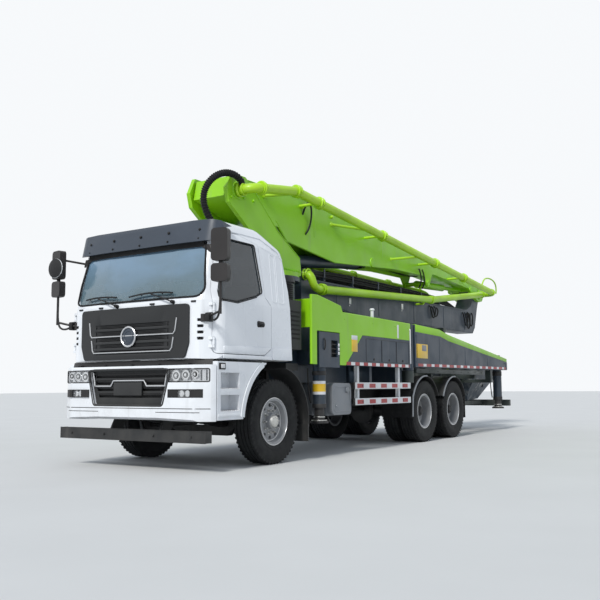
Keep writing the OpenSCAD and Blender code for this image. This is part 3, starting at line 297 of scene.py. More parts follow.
glass = window("cab_glass_tint", (0.030, 0.045, 0.056), 0.62)
# its two colours are painted reflections in the glass: hedges at the foot, sky at the top
windscreen = screen("windscreen_tint", (0.13, 0.20, 0.23), (0.20, 0.33, 0.47), 0.66)
clear_lens = lens("clear_lens", (0.86, 0.88, 0.90), 0.14)
red_lens = lens("red_lens", (0.55, 0.012, 0.01), 0.9)
amber_lens = lens("amber_lens", (0.85, 0.28, 0.01), 0.9)
tape_red = paint("tape_red", (0.34, 0.006, 0.010), 0.4, 0.2, dust=0.08)
tape_white = paint("tape_white", (0.75, 0.75, 0.76), 0.4, 0.2, dust=0.10)
tape_yellow = paint("tape_yellow", (0.80, 0.50, 0.015), 0.4, 0.2, dust=0.10)
tread_plate = checker_steel("tread_plate", (0.16, 0.17, 0.18))
caked_slate = cement("hopper_paint", (0.055, 0.072, 0.092))
mirror_face = Finish("mirror_face", (0.75, 0.78, 0.8), 0.03, Metallic=1.0).mat


# Mesh building
def turn_to(direction):
    """The rotation that takes +Z to a direction."""
    return Vector((0, 0, 1)).rotation_difference(Vector(direction).normalized()).to_matrix().to_4x4()


def rounded(outline, r, n=6):
    """The outline with its corners made round."""
    points = []
    for k, corner in enumerate(outline):
        p, a, b = (Vector(q) for q in (corner, outline[k - 1], outline[(k + 1) % len(outline)]))
        to_a, to_b = (a - p).normalized(), (b - p).normalized()
        reach = min(r / math.tan(to_a.angle(to_b) / 2), (a - p).length * 0.45, (b - p).length * 0.45)
        start, end = p + to_a * reach, p + to_b * reach
        for t in (s / n for s in range(n + 1)):
            points.append(start * (1 - t) ** 2 + p * (2 * t * (1 - t)) + end * t * t)
    return points


def traced(points, place, step=0.07, closed=False):
    """A line of outline points laid on a skin in short steps."""
    line = []
    pairs = list(zip(points, points[1:] + points[:1] if closed else points[1:]))
    for a, b in pairs:
        a, b = Vector(a), Vector(b)
        n = max(1, math.ceil((b - a).length / step))
        line += [place(*(a + (b - a) * k / n)) for k in range(n)]
    return line if closed else line + [place(*points[-1])]


class Work:
    """A mesh put together from bevelled shapes. With a side, x counts outwards on that side."""

    def __init__(self, side=0):
        self.bm = bmesh.new()
        self.out = side or 1
        self.end = {1: "_left", -1: "_right"}.get(side, "")
        self.word = ""

    def at(self, x, y, z):
        return at(self.out * x, y, z)

    def _edge(self, verts, width, segments=2):
        if width:
            edges = list({e for v in verts for e in v.link_edges})
            sharp = [e for e in edges if len(e.link_faces) == 2 and e.calc_face_angle(0) > 0.6]
            bmesh.ops.bevel(self.bm, geom=sharp, offset=width, segments=segments, affect="EDGES",
                            profile=0.5, clamp_overlap=True, material=-1)

    def box(self, x, y, z, edge=0.004, turn=None):
        """A block between the given limits; turn is a matrix applied about its centre."""
        x = sorted(self.out * a for a in x)
        size = Vector((x[1] - x[0], y[1] - y[0], z[1] - z[0]))
        centre = Vector(((x[0] + x[1]) / 2, (y[0] + y[1]) / 2 + AXLE, (z[0] + z[1]) / 2))
        m = Matrix.Translation(centre) @ (turn or Matrix()) @ Matrix.Diagonal((*size, 1))
        made = bmesh.ops.create_cube(self.bm, size=1.0, matrix=m)["verts"]
        self._edge(made, min(edge, min(size) * 0.35))
        return self

    def rod(self, a, b, r, r2=None, n=20, edge=0.0):
        """A round bar or cone from a to b."""
        a, b = Vector(a), Vector(b)
        m = Matrix.Translation((a + b) / 2) @ turn_to(b - a)
        made = bmesh.ops.create_cone(self.bm, cap_ends=True, segments=n, radius1=r,
                                     radius2=r if r2 is None else r2, depth=(b - a).length, matrix=m)["verts"]
        if edge:
            self._edge(made, edge)
        return self

    def pin(self, x, y, z, r, r2=None, n=20, edge=0.0):
        """A round bar along the one coordinate that is given as a pair."""
        ends = [self.at(*(c[k] if isinstance(c, tuple) else c for c in (x, y, z))) for k in (0, 1)]
        return self.rod(*ends, r, r2, n, edge)

    def bolt(self, p, axis, r=0.012, h=0.012):
        """A hexagon head on a washer."""
        p, axis = Vector(p), Vector(axis).normalized()
        self.rod(p, p + axis * h * 0.25, r * 1.35, n=14)
        return self.rod(p + axis * h * 0.25, p + axis * h, r, n=6, edge=r * 0.12)

    def flank_bolt(self, x, y, z, r=0.012, h=0.012):
        """A bolt that points outwards."""
        return self.bolt(self.at(x, y, z), (self.out, 0, 0), r, h)

    def ring(self, p, axis, R, r, n=32, m=10):
        """A torus round the axis through p."""
        start = [self.bm.verts.new((R + r * math.cos(t), 0, r * math.sin(t)))
                 for t in (2 * math.pi * k / m for k in range(m))]
        loop = [self.bm.edges.new((start[k], start[(k + 1) % m])) for k in range(m)]
        before = set(self.bm.verts) - set(start)
        bmesh.ops.spin(self.bm, geom=loop, cent=(0, 0, 0), axis=(0, 0, 1), angle=2 * math.pi,
                       steps=n, use_merge=True, use_duplicate=False)
        made = [v for v in self.bm.verts if v not in before]
        bmesh.ops.transform(self.bm, matrix=Matrix.Translation(p) @ turn_to(axis), verts=made)
        return self

    def plate(self, outline, plane, low, high, edge=0.004):
        """An outline drawn in plane yz or xz, from low to high across it."""
        place = {"yz": lambda a, b, d: self.at(d, a, b), "xz": lambda a, b, d: self.at(a, d, b)}[plane]
        base = [self.bm.verts.new(place(a, b, low)) for a, b in outline]
        face = self.bm.faces.new(base)
        out = bmesh.ops.extrude_face_region(self.bm, geom=[face])["geom"]
        top = [v for v in out if isinstance(v, bmesh.types.BMVert)]
        shift = place(0, 0, high) - place(0, 0, low)
        bmesh.ops.translate(self.bm, vec=shift, verts=top)
        bmesh.ops.recalc_face_normals(self.bm, faces=list({f for v in base + top for f in v.link_faces}))
        self._edge(base + top, edge)
        return self

    def hose(self, points, r, n=3, kind="NURBS", closed=False, steps=6):
        """A round hose or pipe along the points."""
        curve = bpy.data.curves.new("route", "CURVE")
        curve.dimensions, curve.use_fill_caps = "3D", True
        curve.bevel_depth, curve.bevel_resolution, curve.resolution_u = r, n, steps
        line = curve.splines.new(kind)
        line.points.add(len(points) - 1)
        for k, p in enumerate(points):
            line.points[k].co = (*p, 1.0)
        if kind == "NURBS":
            line.order_u, line.use_endpoint_u = 4, True
        line.use_cyclic_u = closed
        holder = bpy.data.objects.new("route", curve)
        mesh = holder.to_mesh()
        self.bm.from_mesh(mesh)
        holder.to_mesh_clear()
        bpy.data.objects.remove(holder)
        bpy.data.curves.remove(curve)
        return self

    def pipe(self, points, r, n=3, kind="NURBS"):
        """A hose along points that count from the front axle."""
        return self.hose([self.at(*p) for p in points], r, n, kind)

    def trace(self, outline, place, out, r, n=2, step=0.07, closed=False):
        """A thin round bead along an outline, on or just off a skin."""
        return self.hose(traced(outline, lambda a, b: place(a, b, out), step, closed), r, n, "POLY", closed)

    def strip(self, low, high, thick):
        """A band of sheet between two lines of points."""
        edges = []
        for line in (low, high):
            verts = [self.bm.verts.new(p) for p in line]
            edges += [self.bm.edges.new(pair) for pair in zip(verts, verts[1:])]
        faces = bmesh.ops.bridge_loops(self.bm, edges=edges)["faces"]
        bmesh.ops.solidify(self.bm, geom=faces, thickness=thick)
        return self

    def copy(self, other, matrix):
        """Everything of another work, placed by the matrix."""
        mesh = bpy.data.meshes.new("copy")
        other.bm.to_mesh(mesh)
        mesh.transform(matrix)
        if matrix.determinant() < 0:
            mesh.flip_normals()
        self.bm.from_mesh(mesh)
        bpy.data.meshes.remove(mesh)
        return self

    def band(self, place, xs, low, high, thick):
        """A strip across a skin, between a low and a high line: height and distance off the skin."""
        return self.strip([place(x, *low) for x in xs], [place(x, *high) for x in xs], thick)

    def piece(self, name, material, body="chassis", slot=None, smooth=0.6, hides=()):
        """Turns the work into a piece that rides on a body, its own side's where there are two."""
        name += self.end + self.word
        mesh = bpy.data.meshes.new(name)
        self.bm.to_mesh(mesh)
        self.bm.free()
        for face in mesh.polygons:
            face.use_smooth = True
        mesh.set_sharp_from_angle(angle=smooth)
        made = bpy.data.objects.new(name, mesh)
        bpy.context.scene.collection.objects.link(made)
        mesh.materials.append(material)
        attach(made, body + self.end if body + self.end in BODIES else body)
        slot or SLOT_OF[material]
        if hides:
            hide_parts(*hides)
        return made


SLOT_OF = {material: slot for slot, materials in {
    "white_paint": (white,), "lime_paint": (lime, lime_pipe), "grey_paint": (tank_grey,),
    "slate_paint": (slate, under_green, tread_plate, caked_slate), "black_paint": (chassis_black,),
    "dark_plastic": (visor_grey, trim_grey, trim_black, mirror_shell, hose_rubber),
    "white_plastic": (guard_white, tape_red, tape_white, tape_yellow), "cabin_trim": (cabin_grey,),
    "cast": (castings, zinc), "chrome": (chrome, satin_trim, mirror_face), "tyre": (tyre_rubber,),
    "lamp_lens": (red_lens, amber_lens),
}.items() for material in materials}
BODIES = frame["record"]["behaviour"]["bodies"]
BODY_OF = {node: body for body, nodes in BODIES.items() for node in nodes}


def soften(node, material, slot, width):
    """A copy of a CAD node with its sharp edges rounded, which stands for it."""
    work = Work()
    work.bm.from_mesh(frame["nodes"][node].data)
    bmesh.ops.remove_doubles(work.bm, verts=work.bm.verts, dist=1e-5)
    bmesh.ops.dissolve_limit(work.bm, angle_limit=0.01, verts=work.bm.verts, edges=work.bm.edges)
    piece = work.piece(node + "_rounded", material, BODY_OF[node], slot, hides=(node,))
    rounding = piece.modifiers.new("rounded edges", "BEVEL")
    rounding.width, rounding.segments, rounding.limit_method = width, 2, "ANGLE"
    rounding.angle_limit, rounding.harden_normals = 0.6, True


# Finishes of the carried-over nodes, and the width their edges are rounded to, 0 where the node itself shows
ENDS = ("left", "right")
FINISHES = (
    (white, 0.006, ("cab_shell", "lower_panels")),
    (white, 0.004, ("door_left", "door_right")),
    (visor_grey, 0.018, ("sun_visor",)),
    (trim_grey, 0.004, ("grille", "lower_grille")),
    (mirror_shell, 0.028, ("mirrors",)),
    (lime, 0.008, ("turret", "boom_1")),
    (lime, 0.005, ("side_wings",)),
    (slate, 0.008, ("rear_arm_left", "rear_arm_right", "side_boxes", "pedestal", "boom_2", "boom_3", "boom_4",
                    "boom_5", "front_beam_left", "front_beam_right")),
    (caked_slate, 0.006, ("hopper",)),
    (tank_grey, 0.008, ("tanks", "pump_unit")),
    (guard_white, 0.006, ("side_guards",)),
    (under_green, 0.006, ("tail_frame",)),
    (chassis_black, 0.005, ("mudguards", "frame_rails")),
    (castings, 0.010, ("engine",)),
    (trim_grey, 0.012, ("intake_stack",)),
    (cabin_grey, 0.02, ("cab_interior",)),
    (chassis_black, 0, ("front_axle", "rear_axles")),
    (windscreen, 0, ("cab_glass",)),
    (glass, 0, ("pane_left", "pane_right")),
    (clear_lens, 0, ("lamps",)),
    (chrome, 0, ("lift_rod",)),
    (slate, 0, ("lift_barrel",)),
    (lime_pipe, 0, ("pipe_1", "pipe_2")),
    (castings, 0, ("hopper_grate",)),
    (castings, 0, tuple(f"{k}_{e}" for k in ("rear_jack", "front_jack", "knuckle") for e in ENDS)),
    (rim_paint, 0, tuple(f"{k}_{e}" for k in ("front_rim", "rims_1", "rims_2") for e in ENDS)),
    (tyre_rubber, 0, tuple(f"{k}_{e}" for k in ("front_tyre", "tyres_1", "tyres_2") for e in ENDS)),
)
for finish, width, names in FINISHES:
    for name in names:
        frame["nodes"][name].data.materials.clear()
        frame["nodes"][name].data.materials.append(finish)
        if width:
            soften(name, finish, "black_paint" if name == "intake_stack" else None, width)


# Camera and light
def make_camera():
    """The photograph's viewpoint. That picture is squeezed across, and this one has square pixels."""
    azimuth, pitch, roll, focal_px = math.radians(32.7), math.radians(6.36), math.radians(-0.3), 777.3
    level = Vector((-math.sin(azimuth), math.cos(azimuth), 0.0))
    look = level * math.cos(pitch) + Vector((0.0, 0.0, math.sin(pitch)))
    right = Vector((math.cos(azimuth), math.sin(azimuth), 0))
    up = right.cross(look)
    c, s = math.cos(roll), math.sin(roll)
    right, up = right * c + up * s, up * c - right * s
    data = bpy.data.cameras.new("view")
    data.sensor_width, data.lens = 36.0, 36.0 * focal_px / 600
    cam = bpy.data.objects.new("view", data)
    bpy.context.scene.collection.objects.link(cam)
    basis = Matrix((right, up, -look)).transposed().to_4x4()
    cam.matrix_world = Matrix.Translation(at(6.889, -8.312, 0.982)) @ basis
    bpy.context.scene.camera = cam


def make_light():
    """A low soft sun from the front, a pale sky and a pale floor."""
    scene = bpy.context.scene
    scene.view_settings.view_transform = "Standard"
    sun = bpy.data.lights.new("sun", "SUN")
    sun.energy, sun.angle, sun.color = 2.5, 0.2, (1.0, 0.985, 0.95)
    lamp = bpy.data.objects.new("sun", sun)
    lamp.rotation_euler = (-Vector((0.13, -1.0, 0.9))).to_track_quat("-Z", "Y").to_euler()
    scene.collection.objects.link(lamp)
    world = bpy.data.worlds.new("sky")
    scene.world = world
    world.use_nodes = True
    tree = world.node_tree
    sky = tree.nodes["Background"]
    sky.inputs["Color"].default_value, sky.inputs["Strength"].default_value = (0.74, 0.85, 1.0, 1), 0.60
    pale = tree.nodes.new("ShaderNodeBackground")
    pale.inputs["Color"].default_value, pale.inputs["Strength"].default_value = (0.93, 0.95, 0.97, 1), 1.0
    path, mixer = tree.nodes.new("ShaderNodeLightPath"), tree.nodes.new("ShaderNodeMixShader")
    seen = path.outputs["Is Camera Ray"]
    for ray in ("Is Glossy Ray", "Is Transmission Ray"):
        either = tree.nodes.new("ShaderNodeMath")
        either.operation = "MAXIMUM"
        tree.links.new(seen, either.inputs[0])
        tree.links.new(path.outputs[ray], either.inputs[1])
        seen = either.outputs[0]
    tree.links.new(seen, mixer.inputs[0])
    tree.links.new(sky.outputs[0], mixer.inputs[1])
    tree.links.new(pale.outputs[0], mixer.inputs[2])
    tree.links.new(mixer.outputs[0], tree.nodes["World Output"].inputs["Surface"])
    bpy.ops.mesh.primitive_plane_add(size=240, location=(0, 0, -0.001))
    floor = bpy.context.object
    floor.name = "floor"
    ground = Finish("pale_floor", (0.62, 0.62, 0.61), 0.85)
    ground.set("Base Color", ground.mix(ground.noise(0.8, 4.0), (0.60, 0.60, 0.59), (0.66, 0.66, 0.65)))
    floor.data.materials.append(ground.mat)


make_camera()
make_light()


# Wheels
FRONT_X, REAR_X, TWIN_GAP = 1.035, 0.92, 0.325  # middles of the wheels, and the step within a pair
NUT_CIRCLE = 0.142
# Half of a tyre's section from the bead to the middle: radius, distance from the centre
SECTION = ((0.290, 0.098), (0.303, 0.104), (0.312, 0.115), (0.345, 0.130), (0.385, 0.141), (0.425, 0.145),
           (0.462, 0.142), (0.492, 0.136), (0.517, 0.130), (0.531, 0.122), (0.536, 0.108), (0.536, 0.092),
           (0.524, 0.089), (0.524, 0.079), (0.538, 0.076), (0.538, 0.034), (0.525, 0.031), (0.525, 0.021),
           (0.538, 0.018))


def tyre():
    """A lorry tyre round the x axis: grooved ribs, shoulder lugs and rings on its wall."""
    work = Work()
    line = list(SECTION) + [(r, -w) for r, w in reversed(SECTION)]
    verts = [work.bm.verts.new((w, 0, r)) for r, w in line]
    edges = [work.bm.edges.new(pair) for pair in zip(verts, verts[1:] + verts[:1])]
    bmesh.ops.spin(work.bm, geom=verts + edges, cent=(0, 0, 0), axis=(1, 0, 0), angle=2 * math.pi, steps=60,
                   use_merge=True)
    lug = Work()
    for side in SIDES:
        lug.box((side * 0.094, side * 0.1325), (-AXLE - 0.014, -AXLE + 0.014), (0.505, 0.5395), 0.004)
        lug.box((side * 0.036, side * 0.074), (-AXLE - 0.017, -AXLE + 0.002), (0.53, 0.5398), 0.002,
                Matrix.Rotation(0.35 * side, 4, "Z"))
    for k in range(52):
        work.copy(lug, Matrix.Rotation(2 * math.pi * k / 52, 4, "X"))
    lug.bm.free()
    for side in SIDES:
        for radius, x in ((0.355, 0.1325), (0.47, 0.1385)):
            work.ring((side * x, 0, 0), (1, 0, 0), radius, 0.004, n=60, m=6)
    bmesh.ops.recalc_face_normals(work.bm, faces=work.bm.faces)
    return work


def put_tyres():
    """The same tyre on every wheel, in pairs at the rear."""
    one = tyre()
    for side in SIDES:
        work = Work(side).copy(one, Matrix.Translation(at(side * FRONT_X, 0, AXLE_Z)))
        work.piece("treaded_tyre", tyre_rubber, "front_wheel", hides=("front_tyre" + work.end,))
        for k, y in enumerate(REAR, 1):
            work = Work(side)
            for gap in (-TWIN_GAP / 2, TWIN_GAP / 2):
                turn = Matrix.Rotation(0.03 if gap > 0 else 0.0, 4, "X")
                work.copy(one, Matrix.Translation(at(side * REAR_X + gap, y, AXLE_Z)) @ turn)
            work.piece(f"treaded_tyres_{k}", tyre_rubber, f"rear_wheels_{k}", hides=(f"tyres_{k}{work.end}",))
    one.bm.free()


def front_hub(side):
    """Hub cap, nuts and valve of a front wheel, and the bright beads of its rim."""
    centre = at(side * FRONT_X, 0, AXLE_Z)
    out = Vector((side, 0, 0))
    work = Work(side)
    work.rod(centre + out * 0.10, centre + out * 0.135, 0.088, 0.07, n=28, edge=0.006)
    for k in range(10):
        spoke = Matrix.Rotation(2 * math.pi * (k + 0.5) / 10, 4, "X") @ Vector((0, 0, NUT_CIRCLE))
        work.rod(centre + spoke + out * 0.05, centre + spoke + out * 0.098, 0.013, 0.009, n=6, edge=0.002)
        work.rod(centre + spoke + out * 0.05, centre + spoke + out * 0.06, 0.021, n=14)
    for k in range(8):
        spoke = Matrix.Rotation(2 * math.pi * k / 8, 4, "X") @ Vector((0, 0, 0.055))
        work.bolt(centre + spoke + out * 0.135, out, 0.007, 0.008)
    work.hose([centre + out * 0.05 + Vector((0, 0, 0.21)), centre + out * 0.09 + Vector((0, 0, 0.2)),
               centre + out * 0.11 + Vector((0, 0, 0.17))], 0.006)
    work.piece("wheel_nuts", zinc, "front_wheel", "rim_steel")
    work = Work(side)
    for R, x in ((0.300, 0.113), (0.243, 0.045)):
        work.ring(centre + out * x, out, R, 0.006, n=60, m=8)
    work.piece("rim_bead", satin_trim, "front_wheel", "rim_steel")


def rear_hubs(side):
    """Hubs with their nuts and the rim beads of the twin wheels."""
    out = Vector((side, 0, 0))
    for k, y in enumerate(REAR, 1):
        centre = at(side * REAR_X, y, AXLE_Z)
        work = Work(side)
        work.rod(centre + out * 0.06, centre + out * 0.20, 0.098, 0.084, n=28, edge=0.006)
        work.rod(centre + out * 0.20, centre + out * 0.22, 0.062, 0.05, n=24, edge=0.004)
        for j in range(10):
            spoke = Matrix.Rotation(2 * math.pi * (j + 0.5) / 10, 4, "X") @ Vector((0, 0, NUT_CIRCLE))
            work.rod(centre + spoke + out * 0.01, centre + spoke + out * 0.07, 0.013, 0.009, n=6, edge=0.002)
            spoke = Matrix.Rotation(2 * math.pi * j / 8, 4, "X") @ Vector((0, 0, 0.072))
            work.bolt(centre + spoke + out * 0.20, out, 0.007, 0.008)
        work.piece(f"rear_hub_{k}", castings, f"rear_wheels_{k}", "rim_steel")
        work = Work(side).ring(centre + out * (TWIN_GAP / 2 + 0.113), out, 0.300, 0.006, n=60, m=8)
        work.piece(f"rear_rim_bead_{k}", satin_trim, f"rear_wheels_{k}", "rim_steel")


put_tyres()
for side in SIDES:
    front_hub(side)
    rear_hubs(side)


# Cab
CAB_HALF = 1.24
SCREEN_FOOT, LEAN = 2.0, 0.2309  # above this height the front leans back by so much per metre
MIRROR = (1.375, -1.4)  # the mirrors' upright stems: x and y
ROOF_EDGE = 2.75  # height where the flanks begin to draw in towards the roof


def front_y(x, z):
    """Distance from the front axle of the cab's front skin, which leans back above the windscreen's foot."""
    flank, corner = max(0.0, abs(x) - 0.5), max(0.0, abs(x) - 1.05)
    return -1.408 + 0.087 * flank + 0.86 * corner + LEAN * max(0.0, z - SCREEN_FOOT)


def on_front(x, z, out=0.0):
    """A point on the cab's front, or a little off it."""
    return at(x, front_y(x, z) - out, z)


def on_side(side, y, z, out=0.0):
    """A point on the cab's flank, or a little off it."""
    corner = max(0.0, -1.18 + LEAN * max(0.0, z - SCREEN_FOOT) - y)
    return at(side * (cab_width(z) - 1.056 * corner + out), y, z)


def on_bumper(x, z, out=0.0):
    """A point on the bumper's front, or a little off it."""
    side = abs(x)
    return at(x, -1.48 + 0.0577 * max(0.0, min(side, 1.02) - 0.5) + 0.545 * max(0.0, side - 1.02) - out, z)


def cab_width(z):
    """Half the cab's width at a height, as on_side has it."""
    return CAB_HALF - 0.0933 * max(0.0, min(z, ROOF_EDGE) - SCREEN_FOOT) - 0.4 * max(0.0, z - ROOF_EDGE)


def roof_panel():
    """The cab's roof with its sloping rear, which closes the shell over its rim."""
    work = Work()
    stations = ((-1.195, 2.935), (-1.15, 2.968), (-1.08, 2.993), (-1.0, 3.0), (-0.66, 3.0), (-0.36, 3.0),
                (-0.30, 2.992), (-0.22, 2.957), (-0.06, 2.871), (0.06, 2.807), (0.105, 2.772), (0.122, 2.73),
                (0.142, 2.655))
    rows = []
    for y, top in stations:
        rim = min(2.95 - LEAN * (y + 1.175), top - 0.003)  # the shell's sloping rim
        flank = top - min(0.05, (top - rim) * 0.6)
        half = [(cab_width(rim), rim), (cab_width(flank), flank)]
        round_to = (cab_width(top) - 0.055, top)
        for t in (0.35, 0.7, 1.0):
            x = half[1][0] * (1 - t) ** 2 + cab_width(top) * 2 * t * (1 - t) + round_to[0] * t * t
            half.append((x, flank * (1 - t) ** 2 + top * 2 * t * (1 - t) + top * t * t))
        half += [(round_to[0] * k, top + 0.012 * (1 - k * k) * min(1.0, (top - rim) / 0.1))
                 for k in (0.75, 0.5, 0.25)]
        line = half + [(0.0, half[-1][1])] + [(-x, z) for x, z in reversed(half)]
        rows.append([work.bm.verts.new(at(x * 1.0015, y, z + 0.0015)) for x, z in line])
    faces = []
    for a, b in zip(rows, rows[1:]):
        faces += [work.bm.faces.new((a[k], a[k + 1], b[k + 1], b[k])) for k in range(len(a) - 1)]
    bmesh.ops.recalc_face_normals(work.bm, faces=faces)
    if sum(f.normal.z for f in faces) < 0:
        bmesh.ops.reverse_faces(work.bm, faces=faces)
    bmesh.ops.solidify(work.bm, geom=faces, thickness=0.02)
    work.piece("roof_panel", white, "cab", smooth=0.9)


def window_seal(side):
    """Rubber round a door's window, and the belt line under it."""
    skin = partial(on_side, side)
    line = rounded([(-1.205, 2.01), (-1.203, 2.15), (-1.108, 2.64), (-1.05, 2.76), (-0.47, 2.76),
                    (-0.37, 2.16), (-0.48, 2.11), (-0.9, 2.0)], 0.045)
    work = Work(side).trace(line, skin, -0.004, 0.009, closed=True)
    work.trace([(-1.19, 1.995), (-0.9, 1.985), (-0.5, 2.09)], skin, 0.001, 0.006)
    work.piece("window_seal", hose_rubber, "door")


def windscreen_seal():
    """Rubber seal and the dark band under the visor."""
    seal = rounded([(-1.085, 2.04), (-0.975, 2.86), (0.975, 2.86), (1.085, 2.04)], 0.13)
    work = Work().trace(seal, on_front, -0.002, 0.013, closed=True)
    xs = [k * 0.07 for k in range(-14, 15)]
    work.band(on_front, xs, (2.655, 0.004), (2.74, 0.03), 0.012)
    work.piece("windscreen_seal", hose_rubber, "cab")


def wipers():
    """Two wipers on their spindles, and the blocks along the windscreen's foot."""
    work = Work()
    for foot, tip in ((0.66, -0.06), (-0.26, -0.86)):
        rest = foot - 0.34
        work.rod(on_front(foot, 1.985, -0.02), on_front(foot, 1.995, 0.045), 0.026, 0.02, edge=0.004)
        arm = [on_front(foot, 1.995, 0.045), on_front(foot - 0.10, 2.035, 0.05),
               on_front(foot - 0.22, 2.075, 0.05), on_front(rest, 2.105, 0.035)]
        work.hose(arm, 0.009, 2)
        blade = [on_front(x, 2.092 + 0.028 * (1 - ((x - rest) / 0.37) ** 2), 0.022)
                 for x in (tip + (foot - 0.02 - tip) * k / 12 for k in range(13))]
        work.hose(blade, 0.008, 2, "POLY")
        work.strip([p + Vector((0, 0.016, -0.003)) for p in blade],
                   [p + Vector((0, 0.004, 0.012)) for p in blade], 0.004)
        for shift in (-0.17, 0.17):
            work.rod(on_front(rest + shift, 2.11, 0.03), on_front(rest + shift, 2.095, 0.014), 0.007, n=8)
    for x in (0.95, 0.33, -0.55, -0.95):
        work.box((x - 0.035, x + 0.035), (front_y(x, 1.985) - 0.012, front_y(x, 1.985) + 0.01),
                 (1.974, 1.994))
    work.piece("wipers", trim_black, "cab")


def visor_screws():
    """Two rows of screws in the sun visor."""
    work = Work()
    for x in (-0.93, -0.47, 0.0, 0.47, 0.93):
        work.bolt(on_front(x, 2.86, 0.074), (0, -1, 0.2), 0.014, 0.014)
        work.bolt(on_front(x, 2.75, 0.073), (0, -1, 0.2), 0.010, 0.010)
    work.piece("visor_screws", trim_black, "cab")


def grille_trim():
    """Bright lines round the grille's two trays, and a plain ring for a badge."""
    work = Work()
    for low, high, half in ((1.612, 1.80, 0.735), (1.412, 1.572, 0.69)):
        tray = [(-half, high), (-half + 0.022, low + 0.035), (-half + 0.05, low), (half - 0.05, low),
                (half - 0.022, low + 0.035), (half, high)]
        work.trace(tray, on_front, 0.032, 0.008)
    work.ring(on_front(-0.02, 1.60, 0.040), (0, -1, 0.0), 0.118, 0.013, n=48)
    work.piece("grille_trim", satin_trim, "cab")
    work = Work().rod(on_front(-0.02, 1.60, 0.018), on_front(-0.02, 1.60, 0.036), 0.118, n=48, edge=0.004)
    work.ring(on_front(-0.02, 1.60, 0.036), (0, -1, 0.0), 0.070, 0.006, n=40)
    work.piece("badge_disc", visor_grey, "cab")


def grille_mesh():
    """Slats and end posts behind the openings of the grille."""
    work = Work()
    xs = [k * 0.06 for k in range(-11, 12)]
    for z in (1.415, 1.495, 1.575, 1.655, 1.735):
        half = 0.62 + (z - 1.38) * 0.14
        near = [x for x in xs if abs(x) < half - 0.04]
        for k in range(3):
            work.band(on_front, near, (z - 0.018 + k * 0.016, 0.017), (z - 0.012 + k * 0.016, 0.023), 0.003)
    for side in SIDES:
        for z in (1.4325, 1.512, 1.592, 1.672, 1.752):
            work.box((side * 0.60, side * 0.606), (-1.432, -1.420), (z - 0.04, z + 0.004))
    work.piece("grille_mesh", trim_black, "cab")


def corner_louvres():
    """Louvres on the cab's front corners."""
    work = Work()
    for side in SIDES:
        for k in range(4):
            low = 1.535 + k * 0.072
            xs = [side * (1.003 + j * 0.0214) for j in range(6)]
            for shift in (0.0, 0.012):
                work.band(on_front, xs, (low + shift, -0.014), (low + shift + 0.008, -0.004), 0.003)
            work.band(on_front, xs, (low - 0.005, -0.02), (low + 0.032, -0.02), 0.002)
    work.piece("corner_louvres", trim_black, "cab")


def headlamps():
    """Round bowls, backs, bezels and dividers behind the lamps' lenses."""
    lamps, bowls, bezel, trim = Work(), Work(), Work(), Work()
    for side in SIDES:
        xs = [side * (0.645 + k * 0.0495) for k in range(12)]
        lamps.band(on_bumper, xs, (1.05, -0.047), (1.19, -0.047), 0.004)
        frame_line = rounded([(side * 0.64, 1.045), (side * 0.64, 1.195), (side * 1.19, 1.195),
                              (side * 1.19, 1.045)], 0.02)
        bezel.trace(frame_line, on_bumper, -0.003, 0.007, closed=True)
        for x, z, r in ((0.76, 1.118, 0.062), (0.90, 1.125, 0.056), (1.03, 1.13, 0.048)):
            p = on_bumper(side * x, z, -0.046)
            axis = Vector((0, -1, 0))
            bowls.rod(p, p + axis * 0.028, r * 0.45, r, n=28)
            bowls.ring(p + axis * 0.028, axis, r, 0.005, n=28, m=6)
            bowls.rod(p + axis * 0.024, p + axis * 0.036, r * 0.42, r * 0.30, n=20)
            trim.ring(p + axis * 0.03, axis, r * 0.55, 0.006, n=28, m=6)
        for x in (0.69, 0.83, 0.968, 1.085, 1.14):
            trim.box((side * (x - 0.004), side * (x + 0.004)),
                     (on_bumper(x, 1.1, -0.05).y - AXLE, on_bumper(x, 1.1, -0.03).y - AXLE), (1.06, 1.18),
                     0.002)
        for low_x, high_x in ((0.655, 0.80), (0.975, 1.125)):
            xs = [side * (low_x + (high_x - low_x) * k / 4) for k in range(5)]
            bezel.band(on_bumper, xs, (0.862, 0.002), (0.958, 0.002), 0.014)
        for z in (0.862, 0.95):
            xs = [side * (0.66 + k * 0.0465) for k in range(11)]
            bezel.band(on_bumper, xs, (z, 0.002), (z + 0.009, 0.002), 0.012)
        for x in (0.845, 0.93):
            p = on_bumper(side * x, 0.91, -0.045)
            bowls.rod(p, p + Vector((0, -0.026, 0)), 0.016, 0.036, n=24)
            bowls.ring(p + Vector((0, -0.026, 0)), (0, -1, 0), 0.036, 0.004, n=24, m=6)
    lamps.piece("lamp_backs", satin_trim)
    bowls.piece("lamp_bowls", chrome)
    bezel.piece("lamp_bezels", trim_black)
    trim.piece("lamp_dividers", trim_black)


